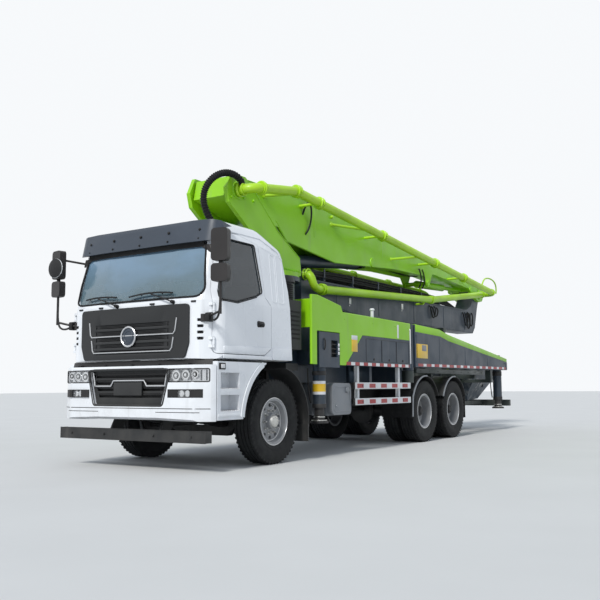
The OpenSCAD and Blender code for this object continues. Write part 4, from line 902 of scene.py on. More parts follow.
def lower_grille_trim():
    """Bright line, blank plate, rim and mesh of the lower grille, and a flat black sheet behind the mesh that
    is painted shade for the dark hollow behind it.
    """
    work = Work()
    steps = [(-0.62, 1.165), (-0.585, 1.0), (-0.30, 1.0), (-0.255, 1.065), (0.255, 1.065), (0.30, 1.0),
             (0.585, 1.0), (0.62, 1.165)]
    work.trace(steps, on_bumper, -0.034, 0.011)
    work.piece("lower_grille_trim", satin_trim)
    work = Work().box((-0.235, 0.235), (-1.468, -1.445), (0.885, 1.045), 0.006)
    mouth = rounded([(-0.575, 0.765), (-0.69, 1.195), (0.69, 1.195), (0.575, 0.765)], 0.05)
    work.trace(mouth, on_bumper, -0.012, 0.017, 3, closed=True)
    work.piece("mouth_trim", trim_grey)
    work = Work()
    xs = [k * 0.062 for k in range(-10, 11)]
    # painted shade: a flat black sheet across the whole mouth, standing in for the dark hollow behind the
    # grille
    work.band(on_bumper, xs, (0.755, -0.086), (1.205, -0.086), 0.004)
    for k in range(17):
        low = 0.775 + k * 0.025
        work.band(on_bumper, xs, (low, -0.083), (low + 0.007, -0.079), 0.003)
    for z in (0.90, 0.98, 1.06, 1.14):
        half = 0.50 + (z - 0.86) * 0.30
        xs = [k * half / 8 for k in range(-8, 9)]
        work.band(on_bumper, xs, (z - 0.012, -0.052), (z + 0.014, -0.040), 0.006)
    work.piece("mouth_mesh", trim_black)


def bumper_seams():
    """Grooves in the bumper and the seal above it."""
    work = Work()
    for line, r in (([(-1.2, 0.735), (1.2, 0.735)], 0.0045), ([(0.48, 0.692), (1.09, 0.692)], 0.004),
                    ([(-0.48, 0.692), (-1.09, 0.692)], 0.004)):
        work.trace(line, on_bumper, -0.0005, r)
    work.piece("bumper_grooves", trim_grey)
    work = Work()
    xs = [k * 0.117 for k in range(-10, 11)]
    work.band(on_bumper, xs, (1.215, -0.075), (1.305, -0.10), 0.01)
    for x in (-0.9, -0.45, 0.0, 0.45, 0.9):
        work.box((x - 0.03, x + 0.03), (-1.43, -1.30), (1.242, 1.262))
    work.piece("bumper_gap_seal", trim_black)


def underrun_edges():
    """Edges and bolts of the bar under the bumper."""
    work = Work()
    for side in SIDES:
        for x, y in ((0.41, -1.445), (0.99, -1.44)):
            work.bolt(at(side * x, y, 0.415), (0, -1, 0))
    work.box((-1.205, 1.205), (-1.444, -1.436), (0.345, 0.352), 0.002)
    work.box((-1.205, 1.205), (-1.444, -1.436), (0.478, 0.485), 0.002)
    for x in (-1.2, 1.2):
        work.box((x - 0.006, x + 0.006), (-1.442, -1.328), (0.348, 0.482), 0.002)
    work.piece("underrun_edges", chassis_black)


def door_handle(side):
    """Plate, handle and lock of a door."""
    door = Work(side).plate(rounded([(-0.50, 1.715), (-0.50, 1.80), (-0.34, 1.79), (-0.34, 1.725)], 0.03),
                            "yz", 1.236, 1.243, 0.002)
    door.pipe(((1.243, -0.485, 1.762), (1.268, -0.47, 1.765), (1.27, -0.38, 1.758), (1.243, -0.355, 1.755)),
              0.012, 3)
    door.pin((1.243, 1.249), -0.42, 1.735, 0.011, n=16)
    door.piece("door_handle", trim_black, "door")


def door_crown(side):
    """Pressed crown over the wheel arch, low on the door."""
    crown = [(-1.165, 1.40), (-1.165, 1.462), (-0.215, 1.474), (-0.215, 1.455), (-0.35, 1.384),
             (-1.15, 1.384)]
    work = Work(side).plate(rounded(crown, 0.02, 3), "yz", 1.236, 1.249, 0.005)
    work.piece("door_crown", white, "door")


def quarter_panel(side):
    """Panels behind and below the door, and the gutter above it."""
    skin = partial(on_side, side)
    rear = [(-0.178, 1.318), (-0.178, 1.474), (0.235, 1.478), (0.262, 1.40), (0.275, 1.318)]
    cab = Work(side).plate(rounded(rear, 0.025, 4), "yz", 1.234, 1.256, 0.007)
    front = [(-1.17, 1.318), (-1.17, 1.364), (-0.18, 1.364), (-0.18, 1.318)]
    cab.plate(front, "yz", 1.236, 1.247, 0.003)
    for low_y, high_y in ((-0.155, -0.055), (-0.02, 0.115)):
        panel = rounded([(low_y, 2.06), (low_y, 2.70), (high_y, 2.66), (high_y, 2.06)], 0.035)
        cab.trace(panel, skin, -0.002, 0.006, closed=True)
    cab.trace([(-1.06, 2.872), (-0.30, 2.872), (0.03, 2.74), (0.09, 2.66)], skin, 0.002, 0.009)
    cab.piece("quarter_panel", white, "cab")


def arch_lip(side):
    """Lip of the front wheel arch and the rib beside the steps."""
    angles = [math.radians(t) for t in range(118, 178, 4)]

    def arc(x, r):
        return [at(side * x, r * math.cos(a), AXLE_Z + r * math.sin(a)) for a in angles]

    body = Work(side).strip(arc(1.243, 0.784), arc(1.243, 0.845), 0.016)
    body.hose(arc(1.245, 0.784), 0.012, 3, "POLY")
    body.plate(rounded([(-1.262, 0.635), (-1.262, 0.672), (-0.78, 0.672), (-0.78, 0.635)], 0.01, 3), "yz",
               1.238, 1.246, 0.003)
    body.piece("arch_lip", white)


def step_treads(side):
    """Treads of the two steps."""
    work = Work(side)
    for low in (0.70, 0.96):
        work.box((1.082, 1.238), (-1.214, -0.862), (low, low + 0.006), 0.002)
        for k in range(9):
            y = -1.19 + k * 0.039
            work.box((1.09, 1.232), (y - 0.006, y + 0.006), (low + 0.005, low + 0.016))
    work.piece("step_treads", satin_trim, slot="rim_steel")


def marker_lamp(side):
    """Side marker lamp in its frame."""
    work = Work(side).box((1.236, 1.252), (-1.25, -1.135), (1.185, 1.262), 0.008)
    work.piece("marker_frame", trim_black)
    work = Work(side).box((1.25, 1.262), (-1.225, -1.16), (1.20, 1.247), 0.006)
    work.piece("marker_lamp", tape_white, slot="lamp_lens")


def door_bolts(side):
    """Two bolts low on the door."""
    work = Work(side)
    for y in (-1.1, -0.75):
        work.flank_bolt(1.238, y, 1.43, 0.008, 0.006)
    work.piece("door_bolts", trim_black, "door")


def mirror_faces(side):
    """Silvered faces, clamps and arm of a pair of mirrors."""
    turn = Matrix.Translation(at(side * MIRROR[0], MIRROR[1], 0)) @ Matrix.Rotation(math.radians(side * 12),
                                                                                    4, "Z")
    faces, clamps = Work(side), Work(side)
    for low, high in ((2.42, 2.80), (2.18, 2.39)):
        outline = rounded([(-0.088, low + 0.016), (-0.088, high - 0.016), (0.088, high - 0.016),
                           (0.088, low + 0.016)], 0.035)
        flat = Work().plate(outline, "xz", 0.044 - AXLE, 0.047 - AXLE, 0.001)
        faces.copy(flat, turn)
        flat.bm.free()
    faces.piece("mirror_glass", mirror_face, "cab")
    for z in (2.30, 2.405, 2.61):
        clamps.pin(*MIRROR, (z - 0.02, z + 0.02), 0.024, n=20, edge=0.003)
    clamps.plate([(-1.375, 1.735), (-1.375, 1.84), (-1.29, 1.85), (-1.285, 1.735)], "yz", 1.125, 1.185, 0.01)
    clamps.pipe(((1.17, -1.33, 1.79), (1.23, -1.36, 1.74), (1.33, -1.4, 1.74), (*MIRROR, 1.84),
                 (*MIRROR, 2.16)), 0.013, 3)
    clamps.piece("mirror_clamps", trim_black, "cab")


def round_mirror():
    """The round mirror that looks down on the front corner."""
    work = Work()
    centre = at(-1.352, -1.475, 2.56)
    work.rod(centre + Vector((0, 0.012, 0)), centre + Vector((0, -0.012, 0)), 0.116, 0.128, n=40, edge=0.004)
    work.rod(centre + Vector((0, -0.012, 0)), centre + Vector((0, -0.03, 0)), 0.128, 0.06, n=40)
    work.hose([centre, centre + Vector((0, 0.05, 0.05)), at(-MIRROR[0], MIRROR[1], 2.74)], 0.011, 2)
    work.piece("round_mirror", trim_black, "cab")
    work = Work().ring(centre, (0, 1, 0), 0.124, 0.008, n=40, m=8)
    work.rod(centre + Vector((0, 0.011, 0)), centre + Vector((0, 0.015, 0)), 0.112, n=40)
    work.piece("round_mirror_glass", mirror_face, "cab")


roof_panel()
for side in SIDES:
    window_seal(side)
windscreen_seal()
wipers()
visor_screws()
grille_trim()
grille_mesh()
corner_louvres()
headlamps()
lower_grille_trim()
bumper_seams()
underrun_edges()
for side in SIDES:
    for dress in (door_handle, door_crown, quarter_panel, arch_lip, step_treads, marker_lamp, door_bolts):
        dress(side)
for side in SIDES:
    mirror_faces(side)
round_mirror()


# Panels, outriggers and guards
BODY_HALF = 1.248
EDGE_ROD = BODY_HALF - 0.018  # middle of the round edges of wings and arms
REAR_LEG, FRONT_LEG = (1.123, 8.85), (1.12, 1.165)  # middles of the legs: x and y
ARCH_R = 0.621  # radius of the rear mudguards
DECK = 1.742  # height of the deck
RED_WHITE = ((tape_red, "red"), (tape_white, "white"))


def flank(y, z, x):
    """A point on a plane across x, for outlines drawn along the truck."""
    return at(x, y, z)


def tape_run(name, body, side, y0, y1, z0, z1, lengths):
    """Reflecting tape in red and white turns on a flank; z runs from z0 to z1 along it."""
    parts = [Work(side), Work(side)]
    y, k = y0, 0
    while y < y1 - 0.02:
        end = min(y + lengths[k % 2], y1)
        low, high = (z0 + (z1 - z0) * (q - y0) / (y1 - y0) for q in (y, end))
        strip_outline = [(y + 0.003, low), (y + 0.003, low + 0.048), (end - 0.003, high + 0.048),
                         (end - 0.003, high)]
        parts[k % 2].plate(strip_outline, "yz", BODY_HALF - 0.001, BODY_HALF + 0.0015, 0.0)
        y, k = end, k + 1
    for work, (finish, word) in zip(parts, RED_WHITE):
        work.word = f"_{word}"
        work.piece(name, finish, body)


def flank_plate(name, finish, body, side, y, z, slot_name="white_plastic", out=0.003):
    """A flat plate with round corners on a flank."""
    work = Work(side).plate(rounded([(y[0], z[0]), (y[0], z[1]), (y[1], z[1]), (y[1], z[0])], 0.008, 3), "yz",
                            BODY_HALF - 0.002, BODY_HALF + out, 0.0008)
    work.piece(name, finish, body, slot_name)


def flank_markings(side):
    """Reflecting tape, blank plates and the pivot's bar on a flank."""
    arm = "rear_arm"
    tape_run("box_tape", "chassis", side, 1.735, 3.93, 1.296, 1.296, (0.14, 0.13))
    tape_run("arm_tape", arm, side, 4.30, 9.10, 1.325, 1.345, (0.22, 0.14))
    flank_plate("wing_strip", tape_white, "chassis", side, (3.475, 3.53), (1.775, 2.0))
    flank_plate("wing_plate", tape_yellow, "chassis", side, (1.90, 2.08), (1.50, 1.68))
    flank_plate("wing_plate_top", tape_white, "chassis", side, (1.90, 2.08), (1.68, 1.745))
    flank_plate("arm_plate", tape_yellow, arm, side, (4.24, 4.72), (1.47, 1.72))
    flank_plate("arm_plate_inset", tank_grey, arm, side, (4.47, 4.66), (1.60, 1.705), out=0.0045)
    flank_plate("pivot_bar", satin_trim, "chassis", side, (3.952, 3.992), (1.36, 1.96), "rim_steel", 0.008)


def wing_edge(side):
    """Rounded upper edge of the side wing, and its bolts."""
    wing = Work(side)
    edge = [(0.785, 1.295), (0.785, 2.245), (0.95, 2.247), (1.588, 2.148), (1.638, 2.058), (3.995, 2.038)]
    wing.trace(edge, flank, side * EDGE_ROD, 0.019, 3, step=0.3)
    for y in (0.83, 1.7, 2.6, 3.4, 3.9):
        wing.flank_bolt(BODY_HALF, y, 1.97 if y > 1.5 else 2.16, 0.009, 0.007)
    wing.piece("wing_edge", lime)


def arm_stripe(side):
    """Lime upper face of the rear arm."""
    stripe = [(4.20, 2.053), (5.30, 2.023), (5.70, 1.953), (9.175, 1.583), (9.175, 1.512), (5.72, 1.832),
              (5.32, 1.900), (4.20, 1.927)]
    work = Work(side).plate(stripe, "yz", BODY_HALF - 0.25, BODY_HALF + 0.002, 0.002)
    work.trace([(y, z - 0.012) for y, z in stripe[:4]], flank, side * EDGE_ROD, 0.019, 3, step=0.4)
    work.piece("arm_stripe", lime, "rear_arm")


def arm_fittings(side):
    """Seams, end cap, bolts and bushes of the rear arm."""
    work = Work(side)
    for y in (4.26, 5.28, 6.6, 7.9, 9.12):
        top = 2.053 - 0.027 * (y - 4.2) if y < 5.3 else 1.953 - 0.1065 * (y - 5.7)
        work.box((1.246, 1.251), (y - 0.012, y + 0.012), (1.40, top - 0.15), 0.002)
    work.box((1.17, 1.256), (9.10, 9.18), (1.34, 1.50), 0.006)
    for y, z in ((4.24, 1.86), (4.24, 1.40), (9.0, 1.47)):
        work.flank_bolt(BODY_HALF, y, z, 0.012, 0.01)
    work.pin(1.138, 4.11, (2.04, 2.062), 0.082, n=32, edge=0.004)
    work.pin(*REAR_LEG, (1.60, 1.66), 0.088, 0.075, n=32, edge=0.006)
    work.piece("arm_fittings", slate, "rear_arm")


def rear_leg(side):
    """Collars and hose of the rear leg, and its foot."""
    work = Work(side)
    for low, high in ((0.66, 0.74), (1.20, 1.30)):
        work.pin(*REAR_LEG, (low, high), 0.102, n=32, edge=0.006)
    work.pipe(((1.02, 8.78, 0.72), (1.0, 8.72, 1.0), (1.02, 8.70, 1.28)), 0.011, 2)
    work.piece("arm_leg_collars", castings, "rear_arm")
    leg = Work(side)
    for k, z in enumerate((0.512, 0.56)):
        leg.pin(*REAR_LEG, (z, z + 0.014), 0.11 - 0.03 * k, n=32, edge=0.003)
    x, y = REAR_LEG
    for k in range(6):
        a = math.pi * k / 3
        leg.bolt(at(side * x + 0.09 * math.cos(a), y + 0.09 * math.sin(a), 0.51), (0, 0, 1), 0.01, 0.012)
    leg.piece("rear_foot", zinc, "rear_jack")


def front_cover(side):
    """Rungs, handle and marks on the front beam's cover."""
    beam = "front_beam"
    work = Work(side)
    for z in (1.455, 1.52, 1.585):
        work.pin(1.222, (1.30, 1.48), z, 0.012, n=14)
    work.box((1.19, 1.196), (1.30, 1.48), (1.40, 1.64), 0.001)
    work.pipe(((1.246, 1.10, 1.50), (1.275, 1.10, 1.51), (1.275, 1.10, 1.65), (1.246, 1.10, 1.66)), 0.010, 2)
    work.piece("cover_rungs", trim_black, beam)
    work = Work(side)
    for z in (1.46, 1.52, 1.58):
        work.box((1.246, 1.253), (1.495, 1.533), (z - 0.022, z + 0.022), 0.004)
    work.piece("cover_marks", tape_white, beam)


def front_leg(side):
    """Bands, collars and hose of the front leg, and its foot."""
    beam = "front_beam"
    for finish, low, high, word in ((tape_white, 0.87, 0.91, "low"), (tape_yellow, 0.91, 1.02, "mid"),
                                    (tape_white, 1.02, 1.06, "high")):
        work = Work(side).pin(*FRONT_LEG, (low, high), 0.0935, n=40)
        work.piece(f"jack_band_{word}", finish, beam)
    work = Work(side)
    for low, high in ((0.68, 0.74), (1.14, 1.20)):
        work.pin(*FRONT_LEG, (low, high), 0.1, n=36, edge=0.006)
    work.pipe(((1.02, 1.10, 0.75), (1.0, 1.05, 0.95), (1.0, 1.05, 1.24)), 0.011, 2)
    work.piece("jack_collars", castings, beam)
    leg = Work(side)
    for k, z in enumerate((0.502, 0.55)):
        leg.pin(*FRONT_LEG, (z, z + 0.014), 0.11 - 0.03 * k, n=32, edge=0.003)
    leg.piece("front_foot", zinc, "front_jack")


def side_guard(side):
    """Red marks, end caps and bolts of the side guard."""
    work = Work(side)
    for z in (0.70, 0.94):
        for k in range(5):
            y = 2.06 + k * 0.395
            work.plate([(y, z + 0.018), (y, z + 0.082), (y + 0.20, z + 0.082), (y + 0.20, z + 0.018)], "yz",
                       BODY_HALF - 0.001, BODY_HALF + 0.002, 0.0)
    work.piece("guard_red", tape_red)
    work = Work(side)
    for z in (0.70, 0.94):
        for y in (2.17, 3.60):
            work.flank_bolt(BODY_HALF, y + 0.06, z + 0.05, 0.010, 0.008)
        for y in (1.984, 3.966):
            work.box((1.206, 1.25), (y - 0.006, y + 0.006), (z - 0.002, z + 0.102), 0.003)
    work.piece("guard_ends", trim_black)


def beacon_post(side):
    """Short post on the side wing."""
    work = Work(side).pin(1.19, 2.69, (2.03, 2.19), 0.026, n=20, edge=0.003)
    work.pin(1.19, 2.69, (2.185, 2.215), 0.045, 0.03, n=24, edge=0.004)
    work.piece("beacon_post", guard_white)


def outrigger_sill(side):
    """The beam under the rear arm, on its brackets."""
    beam_work = Work(side).box((1.06, 1.205), (4.32, 7.74), (1.208, 1.294), 0.008)
    for y in (5.31, 7.6):
        beam_work.box((0.40, 1.07), (y - 0.045, y + 0.045), (1.13, 1.24), 0.006)
    for k in range(9):
        beam_work.flank_bolt(1.205, 4.5 + k * 0.39, 1.25, 0.010, 0.008)
    beam_work.piece("outrigger_sill", under_green)


def wheel_arches(side):
    """Beads of the rear mudguards, and the mud flaps."""

    def on_arc(y, angle):
        a = math.radians(angle)
        return (1.239, y + ARCH_R * math.cos(a), AXLE_Z + ARCH_R * math.sin(a))

    work = Work(side)
    for y in REAR:
        work.pipe([on_arc(y, angle) for angle in range(86, 157, 5)], 0.015, 3, "POLY")
    x, y, z = on_arc(REAR[0], 155)
    work.pipe(((x, y, z), (x, y - 0.02, z - 0.2), (x, y - 0.02, z - 0.34)), 0.013, 2)
    work.piece("arch_edges", tank_grey)
    flaps = Work(side)
    for y, low in ((4.075, 0.44), (6.57, 0.36)):
        flaps.box((0.64, 1.22), (y - 0.005, y + 0.005), (low, 0.80), 0.002)
    flaps.piece("mud_flaps", hose_rubber, slot="black_paint")


def tank_fittings(side):
    """Straps, cap, drain and pressed line of the tank."""
    work = Work(side)
    for x0 in (0.82, 1.06):
        work.plate(rounded([(1.374, 0.564), (1.374, 1.036), (1.946, 1.036), (1.946, 0.564)], 0.072), "yz", x0,
                   x0 + 0.05, 0.002)
    work.pin((1.205, 1.235), 1.80, 0.93, 0.045, n=24, edge=0.005)
    work.pin((1.205, 1.222), 1.50, 0.70, 0.02, n=18, edge=0.003)
    face = rounded([(1.43, 0.62), (1.43, 0.98), (1.89, 0.98), (1.89, 0.62)], 0.05)
    work.trace(face, flank, side * 1.210, 0.007, closed=True)
    work.piece("tank_fittings", tank_grey)


def box_doors(side):
    """Door lines and locks of the side box."""
    work = Work(side)
    for y0, y1 in ((2.36, 2.88), (2.90, 3.42), (3.44, 3.90)):
        door = rounded([(y0, 1.365), (y0, 1.715), (y1, 1.715), (y1, 1.365)], 0.02, 3)
        work.trace(door, flank, side * 1.2485, 0.003, 1, step=0.5, closed=True)
        work.pin((1.248, 1.254), (y0 + y1) / 2, 1.40, 0.02, n=18)
    work.piece("box_door_lines", trim_black)


def deck_tread():
    """Tread plate on the deck."""
    deck = Work().box((-0.755, 0.755), (2.63, 4.28), (DECK - 0.001, DECK + 0.004), 0.001)
    for side in SIDES:
        deck.box((side * 0.765, side * 1.2), (2.63, 3.985), (DECK - 0.001, DECK + 0.004), 0.001)
    deck.piece("deck_tread", tread_plate)


# Boom and its pipes
PIVOT, TIP = (0.25, 3.74), (10.25, 3.23)  # the first section's two pins: y and height
PIPE_LANE, RISE = 0.64, (1.34, 3.915)  # how far out its pipe lies, and where the straight run starts


def clamp(work, p, way, r=0.07):
    """Two-part pipe clamp with its bolt, round a pipe that runs the given way."""
    p, way = Vector(p), Vector(way).normalized()
    for shift in (-0.032, 0.032):
        work.ring(p + way * shift, way, r + 0.018, 0.013, n=28, m=8)
    across = way.cross(Vector((0, 0, 1))).normalized()
    up = across.cross(way)
    for turn in (across, -across):
        lug = p + turn * (r + 0.03)
        work.rod(lug - up * 0.028, lug + up * 0.028, 0.016, n=10, edge=0.003)
        work.rod(lug - up * 0.045, lug + up * 0.045, 0.007, n=8)
    return work


def along_pipe(y):
    """A point on the first section's straight pipe run."""
    return at(PIPE_LANE, y, RISE[1] + (y - RISE[0]) * (TIP[1] - RISE[1]) / (TIP[0] - RISE[0]))


def pipe_clamps():
    """Clamps, elbow rings, stays and the end hoop of the first section's pipe."""
    run = (along_pipe(8) - along_pipe(2)).normalized()
    first = Vector((0, RISE[0] - PIVOT[0], RISE[1] - PIVOT[1])).normalized()
    work = Work()
    clamp(work, at(PIPE_LANE, *RISE), (first + run).normalized())
    for y in (2.0, 4.2, 6.6, 8.2):
        clamp(work, along_pipe(y), run)
    work.ring(at(0.405, *PIVOT), (1, 0, 0), 0.088, 0.020, n=32)
    work.ring(at(0.475, *PIVOT), (1, 0, 0), 0.078, 0.014, n=32)
    elbow = at(PIPE_LANE, *PIVOT) + first * 0.18
    work.ring(elbow, first, 0.090, 0.018, n=32)
    work.ring(elbow + first * 0.05, first, 0.080, 0.012, n=32)
    for y, z in ((2.06, 3.86), (3.0, 3.868)):
        work.pin((0.27, 0.315), y, z, 0.03, 0.024, n=20, edge=0.004)
    for low, high in (((0.29, 1.01, 3.83), (0.58, 1.50, 3.93)), ((0.27, 3.0, 3.74), (0.60, 3.85, 3.735)),
                      ((0.27, 5.3, 3.45), (0.60, 5.9, 3.55))):
        work.rod(at(*low), at(*high), 0.024, n=18, edge=0.003)
        work.rod(at(*low) - Vector((0.02, 0, 0)), at(*low) + Vector((0.012, 0, 0)), 0.046, 0.038, n=20,
                 edge=0.004)
    hoop = [along_pipe(9.35) + Vector((0.02, 0, 0.02)), at(0.66, 9.45, 3.50), at(0.66, 9.75, 3.57),
            at(0.66, 10.1, 3.56), at(0.66, 10.32, 3.5), at(0.66, 10.40, 3.38), at(0.65, 10.38, 3.24)]
    work.hose(hoop, 0.017, 3)
    work.piece("pipe_clamps", lime_pipe, "boom_1")


def turret_bosses():
    """Pin caps, rims and the bolt row of the turret."""
    work = Work()
    for y, z in ((0.536, 3.883), (0.382, 3.66), (0.10, 3.62), (0.62, 3.66)):
        for side in SIDES:
            work.pin((side * 0.355, side * 0.385), y, z, 0.026, 0.02, n=18, edge=0.004)
    for side in SIDES:
        work.pin((side * 0.355, side * 0.372), *PIVOT, 0.13, 0.12, n=40, edge=0.005)
        work.pin((side * 0.385, side * 0.396), *PIVOT, 0.075, n=32, edge=0.003)
        for k in range(6):
            a = math.pi * k / 3
            work.bolt(at(side * 0.372, PIVOT[0] + 0.1 * math.cos(a), PIVOT[1] + 0.1 * math.sin(a)),
                      (side, 0, 0), 0.010, 0.009)
        rim = [(-0.005, 3.745), (0.05, 3.545), (1.12, 2.84)]
        work.trace(rim, flank, side * 0.358, 0.010, step=0.3)
        back = [(1.86, 2.98), (1.24, 3.32), (0.585, 3.868)]
        work.trace(back, flank, side * 0.358, 0.010, step=0.3)
        for k in range(14):
            y = 1.16 + k * 0.055
            work.bolt(at(side * 0.362, y, 2.775), (side, 0, 0), 0.012, 0.010)
    work.piece("turret_bosses", lime, "turret")


def swivel_hose():
    """Ribbed hose from the turret to the pipe's first elbow."""
    work = Work()
    route = [at(0.44, 0.27, 3.80), at(0.45, 0.18, 3.89), at(0.44, 0.03, 3.925), at(0.40, -0.13, 3.91),
             at(0.33, -0.26, 3.83), at(0.26, -0.33, 3.70), at(0.21, -0.34, 3.55), at(0.19, -0.26, 3.38),
             at(0.19, -0.10, 3.22), at(0.19, 0.12, 3.08), at(0.19, 0.40, 2.97), at(0.19, 0.72, 2.88),
             at(0.19, 1.0, 2.82), at(0.19, 1.15, 2.78)]
    work.hose(route, 0.040, 4)
    smooth = [v.co.copy() for v in Work().hose(route, 0.0, steps=9).bm.verts]
    for k in range(4, 116, 2):
        way = smooth[k + 1] - smooth[k - 1]
        work.ring(smooth[k], way, 0.042, 0.009, n=16, m=6)
    work.rod(at(0.44, 0.25, 3.78), at(0.447, 0.20, 3.88), 0.046, n=24, edge=0.004)
    work.piece("swivel_hose", hose_rubber, "turret")


def boom_lines():
    """Hydraulic hoses of the first section."""
    work = Work()
    loop = [at(0.275, 2.08, 3.74), at(0.33, 2.07, 3.86), at(0.345, 2.12, 3.95), at(0.345, 2.20, 3.95),
            at(0.34, 2.26, 3.84), at(0.32, 2.27, 3.66), at(0.30, 2.22, 3.50), at(0.275, 2.16, 3.43)]
    work.hose(loop, 0.015, 3)
    for y0 in (6.55, 6.72):
        work.pipe(((0.30, y0, 3.42), (0.34, y0 + 0.05, 3.28), (0.33, y0 + 0.10, 3.12),
                   (0.22, y0 + 0.15, 3.04)), 0.014, 3)
    for shift in (0.0, 0.036, 0.072):
        work.pipe(((-0.16 + shift, 1.9, 3.47), (-0.16 + shift, 2.2, 3.40), (-0.16 + shift, 5.0, 3.39),
                   (-0.16 + shift, 6.9, 3.32), (-0.15 + shift, 7.3, 3.38)), 0.014, 2)
    work.piece("boom_lines", hose_rubber, "boom_1")


def boom_edges():
    """Pin caps, seams and stiffeners of the first section."""
    work = Work()
    for side in SIDES:
        for y, z, r in ((7.08, 3.17, 0.075), (4.5, 3.28, 0.095), (9.64, 3.29, 0.075)):
            work.pin((side * 0.268, side * 0.288), y, z, r, r * 0.92, n=32, edge=0.004)
            for k in range(4):
                a = math.pi * (k + 0.5) / 2
                work.bolt(at(side * 0.288, y + r * 0.65 * math.cos(a), z + r * 0.65 * math.sin(a)),
                          (side, 0, 0), 0.008, 0.008)
        work.pin((side * 0.276, side * 0.296), *TIP, 0.13, 0.12, n=40, edge=0.005)
        seam_low = [(1.32, 3.515), (1.63, 3.245), (3.13, 3.105), (5.46, 3.285), (6.84, 3.315), (7.03, 3.105)]
        work.trace(seam_low, flank, side * 0.268, 0.010, step=0.5)
        top = [(0.30, 3.975), (2.98, 3.995), (7.1, 3.75), (9.93, 3.475)]
        work.trace(top, flank, side * 0.266, 0.010, step=0.5)
        fork = [(9.02, 3.41), (9.5, 3.32), (9.9, 3.12), (10.22, 3.05), (10.42, 3.09), (10.505, 3.2)]
        work.trace(fork, flank, side * 0.268, 0.010, step=0.5)
        for y, z0, z1 in ((2.45, 3.42, 3.98), (4.9, 3.42, 3.87), (6.95, 3.36, 3.74), (8.95, 3.35, 3.55)):
            work.box((side * 0.269, side * 0.275), (y - 0.02, y + 0.02), (z0, z1), 0.002)
    work.piece("boom_edges", lime, "boom_1")


def boom_top_eyes():
    """Lifting eyes on top of the first section."""
    work = Work()
    for side in SIDES:
        for y, z in ((0.86, 3.98), (2.9, 4.0), (6.9, 3.775)):
            work.pin(side * 0.20, (y - 0.03, y + 0.03), z - 0.01, 0.018, n=14)
    work.piece("boom_top_eyes", zinc, "boom_1")


def section_2_hoses():
    """Two bundles of hoses on the second section with their saddles, and loops."""
    work, saddles = Work(), Work()
    hoses = ((0.13, 2.83), (0.165, 2.83), (0.148, 2.87), (0.13, 2.91), (0.165, 2.91), (0.148, 2.95),
             (-0.13, 2.83), (-0.165, 2.83), (-0.148, 2.87), (-0.13, 2.91), (-0.165, 2.91))
    for k, (x, z) in enumerate(hoses):
        work.pipe(((x, 2.42, 2.80), (x, 2.62, z), (x, 5.0, z + 0.01), (x, 7.6, z + 0.012),
                   (x * 0.9, 8.5 - k * 0.02, z - 0.01), (x * 0.8, 8.95, 2.80)), 0.0165, 2)
    for y in (2.9, 3.9, 4.9, 5.9, 6.9, 7.9):
        for side in SIDES:
            saddles.box((side * 0.105, side * 0.19), (y - 0.025, y + 0.025), (2.755, 2.82), 0.005)
            saddles.box((side * 0.183, side * 0.19), (y - 0.02, y + 0.02), (2.78, 2.96), 0.002)
    for y, z, drop in ((7.39, 2.72, 0.30), (7.52, 2.70, 0.24), (9.35, 2.72, 0.36), (9.5, 2.73, 0.44),
                       (9.68, 2.75, 0.38)):
        work.pipe(((0.19, y - 0.12, z), (0.235, y - 0.12, z - 0.02), (0.25, y - 0.10, z - drop * 0.7),
                   (0.25, y, z - drop), (0.25, y + 0.12, z - drop * 0.6), (0.235, y + 0.16, z - 0.03),
                   (0.19, y + 0.16, z)), 0.014, 3)
    work.piece("section_2_hoses", hose_rubber, "boom_2")
    saddles.piece("section_2_saddles", slate, "boom_2")


def section_2_lights():
    """Small lamps on the second section."""
    work = Work()
    for y, z in ((3.74, 2.49), (5.90, 2.57)):
        work.box((0.198, 0.226), (y - 0.018, y + 0.018), (z - 0.055, z + 0.055), 0.005)
        work.bolt(at(0.2, y, z - 0.08), (1, 0, 0), 0.009, 0.008)
    work.piece("section_2_lights", tape_white, "boom_2")


def section_2_elbow():
    """Elbow at the front end of the second section's pipe."""
    work = Work()
    bend = [at(0.365, 2.56, 2.57), at(0.365, 2.40, 2.545), at(0.36, 2.27, 2.58), at(0.345, 2.25, 2.70),
            at(0.30, 2.25, 2.79), at(0.235, 2.25, 2.79)]
    work.hose(bend, 0.066, 5)
    clamp(work, at(0.365, 2.52, 2.563), (0, 1, 0.05), 0.066)
    clamp(work, at(0.245, 2.25, 2.79), (1, 0, 0), 0.066)
    for y, z in ((3.6, 2.66), (5.2, 2.73)):
        work.pin((0.19, 0.32), y, z, 0.022, n=16, edge=0.003)
    work.piece("section_2_elbow", lime_pipe, "boom_2")


def section_2_edges():
    """Seams, stiffeners and pin caps of the second section."""
    work = Work()
    for side in SIDES:
        for line in ([(2.30, 2.36), (3.22, 2.355), (4.0, 2.266), (9.85, 2.276)],
                     [(2.30, 2.715), (9.45, 2.765)]):
            work.trace(line, flank, side * 0.198, 0.010, step=0.5)
        for y in (3.3, 4.9, 6.5, 8.1, 9.4):
            work.box((side * 0.198, side * 0.205), (y - 0.03, y + 0.03), (2.30, 2.73), 0.003)
        work.pin((side * 0.196, side * 0.215), *TIP, 0.12, 0.11, n=36, edge=0.004)
        work.pin((side * 0.196, side * 0.212), 9.95, 2.55, 0.085, 0.078, n=32, edge=0.004)
    work.piece("section_2_edges", slate, "boom_2")


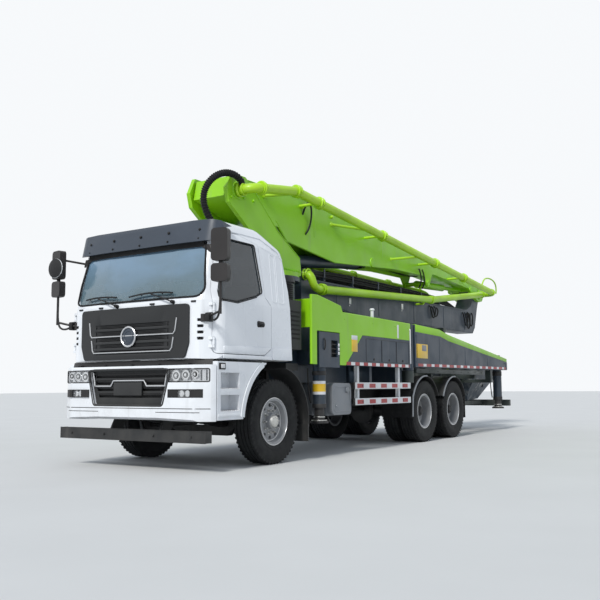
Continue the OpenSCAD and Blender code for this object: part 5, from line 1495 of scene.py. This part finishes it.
def outer_pipes():
    """Delivery pipes of the three sections on the far side."""
    for body, x, y0, y1, high in (("boom_3", -0.395, 2.72, 8.72, 3.05), ("boom_4", -0.607, 3.12, 8.0, 3.04)):
        work = Work()
        work.pipe(((x, y0, high + 0.02), (x, y0 + 0.14, high + 0.09), (x, y0 + 0.4, high + 0.10),
                   (x, y1 - 0.5, high + 0.10), (x, y1 - 0.25, high + 0.09), (x, y1 - 0.14, high + 0.02)),
                  0.06, 4)
        for k in range(4):
            clamp(work, at(x, y0 + 0.7 + k * (y1 - y0 - 1.4) / 3, high + 0.10), (0, 1, 0), 0.06)
            y = y0 + 0.7 + k * (y1 - y0 - 1.4) / 3
            work.box((x - 0.06, x + 0.06), (y - 0.02, y + 0.02), (high - 0.02, high + 0.05), 0.006)
        work.piece(f"{body}_pipe", lime_pipe, body)
    work = Work()
    route = [at(-0.93, 3.2, 2.90), at(-0.955, 3.5, 2.92), at(-0.955, 5.5, 2.92), at(-0.955, 7.4, 2.92),
             at(-0.93, 7.8, 2.91)]
    work.hose(route, 0.052, 4)
    for y in (3.7, 4.9, 6.1, 7.2):
        clamp(work, at(-0.955, y, 2.92), (0, 1, 0), 0.052)
        work.box((-0.91, -0.865), (y - 0.02, y + 0.02), (2.885, 2.945), 0.006)
    work.piece("boom_5_pipe", lime_pipe, "boom_5")


def end_hose():
    """The rubber hose at the boom's end."""
    work = Work()
    work.pipe(((-0.93, 7.75, 2.91), (-0.95, 8.0, 2.93), (-0.96, 8.22, 2.90), (-0.96, 8.3, 2.78),
               (-0.96, 8.2, 2.68), (-0.95, 7.9, 2.66), (-0.94, 6.6, 2.70), (-0.93, 5.6, 2.72),
               (-0.93, 5.2, 2.76)), 0.045, 4)
    work.piece("end_hose", hose_rubber, "boom_5")


def tail_lamps():
    """Lamps and a blank plate at the back."""
    red, frames, amber = Work(), Work(), Work()
    for side in SIDES:
        frames.box((side * 0.80, side * 1.16), (9.572, 9.60), (0.528, 0.652), 0.008)
        for x, made in ((0.86, amber), (0.98, red), (1.10, red)):
            made.pin(side * x, (9.60, 9.616), 0.59, 0.048, 0.042, n=32, edge=0.004)
            frames.ring(at(side * x, 9.602, 0.59), (0, 1, 0), 0.051, 0.006, n=32, m=6)
    frames.box((-0.26, 0.26), (9.575, 9.587), (0.535, 0.645), 0.003)
    red.piece("tail_lamps", red_lens)
    amber.piece("rear_turn_lamps", amber_lens)
    frames.piece("tail_lamp_frames", trim_black)


def hopper_rim():
    """Rubber round the hopper's rim."""
    work = Work()
    line = rounded([(-0.815, 8.45), (-0.815, 9.695), (0.815, 9.695), (0.815, 8.45)], 0.03)
    work.hose(traced(line, lambda x, y: at(x, y, 1.482), closed=True), 0.014, 3, "POLY", True)
    work.piece("hopper_rim_rubber", hose_rubber)


def deck_pipe():
    """Delivery line from the hopper to the turret, on its stands."""
    work = Work()
    pipe = [at(0, 8.30, 0.98), at(0.02, 8.12, 1.0), at(0.30, 8.02, 1.30), at(0.55, 8.0, 1.62),
            at(0.62, 7.85, 1.84), at(0.62, 7.5, 1.87), at(0.62, 5.2, 1.87), at(0.62, 3.0, 1.87),
            at(0.60, 2.62, 1.87), at(0.50, 2.46, 1.87)]
    work.hose(pipe, 0.07, 5)
    for y in (7.4, 5.9, 4.4, 2.9):
        clamp(work, at(0.62, y, 1.87), (0, 1, 0), 0.07)
    work.piece("deck_pipe", lime_pipe)
    work = Work()
    for y in (7.4, 5.9, 4.4, 2.9):
        foot = DECK + 0.003 if y < 4.3 else 1.13
        work.box((0.57, 0.67), (y - 0.03, y + 0.03), (foot, 1.81), 0.006)
        if foot < 1.5:
            work.box((0.36, 0.67), (y - 0.03, y + 0.03), (1.125, 1.19), 0.006)
    work.piece("deck_pipe_stands", under_green)


def oil_tank():
    """Oil tank with its filters."""
    work = Work().box((-0.62, -0.18), (2.70, 3.35), (DECK, 2.02), 0.03)
    work.pin(-0.40, 2.85, (2.02, 2.09), 0.07, 0.06, n=28, edge=0.006)
    work.pin(-0.40, 3.15, (2.02, 2.14), 0.05, n=24, edge=0.006)
    for k in range(4):
        work.box((-0.626, -0.616), (2.78 + k * 0.15, 2.80 + k * 0.15), (1.78, 1.99), 0.002)
    work.piece("oil_tank", slate)


def valve_block():
    """Block of six valves with their levers."""
    work = Work().box((0.05, 0.34), (2.75, 3.45), (DECK, 1.93), 0.012)
    for k in range(6):
        y = 2.82 + k * 0.115
        work.box((0.08, 0.31), (y - 0.035, y + 0.035), (1.92, 2.0), 0.008)
        work.pin(0.195, y, (1.99, 2.07), 0.009, n=12)
        work.pin(0.195, y, (2.06, 2.085), 0.018, 0.014, n=16, edge=0.003)
        for x in (0.05, 0.34):
            work.bolt(at(x, y, 1.85), (1 if x > 0.2 else -1, 0, 0), 0.014, 0.02)
    work.piece("valve_block", castings)


def deck_hoses():
    """Hoses between oil tank, valves and turret."""
    work = Work()
    for k in range(5):
        y = 2.85 + k * 0.115
        work.pipe(((0.36, y, 1.85), (0.42, y, 1.85), (0.46, y + 0.1, 1.80), (0.44 - k * 0.02, 3.7, 1.77),
                   (0.40 - k * 0.05, 4.1, 1.775), (0.36 - k * 0.05, 4.26, 1.76)), 0.012, 2)
    for k in range(4):
        work.pipe(((-0.18, 2.9 + k * 0.1, 1.88), (-0.08, 2.9 + k * 0.1, 1.87), (0.04, 2.95 + k * 0.1, 1.86)),
                  0.013, 2)
    work.piece("deck_hoses", hose_rubber)


def deck_rails():
    """Hand rails on the deck."""
    work, foot = Work(), DECK + 0.003
    for side in SIDES:
        rail = [at(side * 0.74, 2.68, foot), at(side * 0.74, 2.68, 2.05), at(side * 0.74, 2.74, 2.09),
                at(side * 0.74, 3.9, 2.09), at(side * 0.74, 3.96, 2.05), at(side * 0.74, 3.96, foot)]
        work.hose(rail, 0.014, 3, "POLY")
        work.pin(side * 0.74, 3.32, (foot, 2.09), 0.011, n=14)
    work.piece("deck_rails", guard_white)


def intake_bellows():
    """Bellows and slats of the air intake."""
    work = Work()
    for k in range(8):
        work.ring(at(0.99, 0.485, 2.165 + k * 0.028), (0, 0, 1), 0.108, 0.012, n=36, m=8)
    for k in range(7):
        for x, way in ((0.818, -1), (1.162, 1)):
            z = 1.62 + k * 0.06
            work.box((x - 0.003 * way, x + 0.004 * way), (0.37, 0.60), (z, z + 0.022), 0.001)
    work.piece("intake_bellows", hose_rubber)


def coiled_lines():
    """Coiled air lines behind the cab."""
    coils = Work()
    for x in (0.30, 0.42, 0.54):
        line = [at(x + 0.028 * math.cos(t * 0.7), 0.56 + 0.028 * math.sin(t * 0.7), 1.62 - 0.0052 * t)
                for t in range(100)]
        coils.hose([at(x, 0.70, 1.66)] + line + [at(x, 0.62, 1.06), at(x, 0.72, 1.02)], 0.007, 1)
    coils.piece("coiled_lines", hose_rubber)


def tail_pipe_guard():
    """Cage round the tail pipe."""
    work = Work()
    for k in range(9):
        z = 1.2 + k * 0.12
        work.ring(at(-0.77, 0.73, z), (0, 0, 1), 0.078, 0.006, n=28, m=6)
    for k in range(10):
        a = 2 * math.pi * k / 10
        x, y = -0.77 + 0.078 * math.cos(a), 0.73 + 0.078 * math.sin(a)
        work.pin(x, y, (1.18, 2.18), 0.005, n=8)
    work.piece("tail_pipe_guard", satin_trim)


for side in SIDES:
    for dress in (flank_markings, wing_edge, arm_stripe, arm_fittings, rear_leg, front_cover, front_leg,
                  side_guard, beacon_post, outrigger_sill, wheel_arches, tank_fittings, box_doors):
        dress(side)
for dress in (deck_tread, pipe_clamps, turret_bosses, swivel_hose, boom_lines, boom_edges, boom_top_eyes,
              section_2_hoses, section_2_lights, section_2_elbow, section_2_edges, outer_pipes, end_hose,
              tail_lamps, hopper_rim, deck_pipe, oil_tank, valve_block, deck_hoses, deck_rails,
              intake_bellows, coiled_lines, tail_pipe_guard):
    dress()
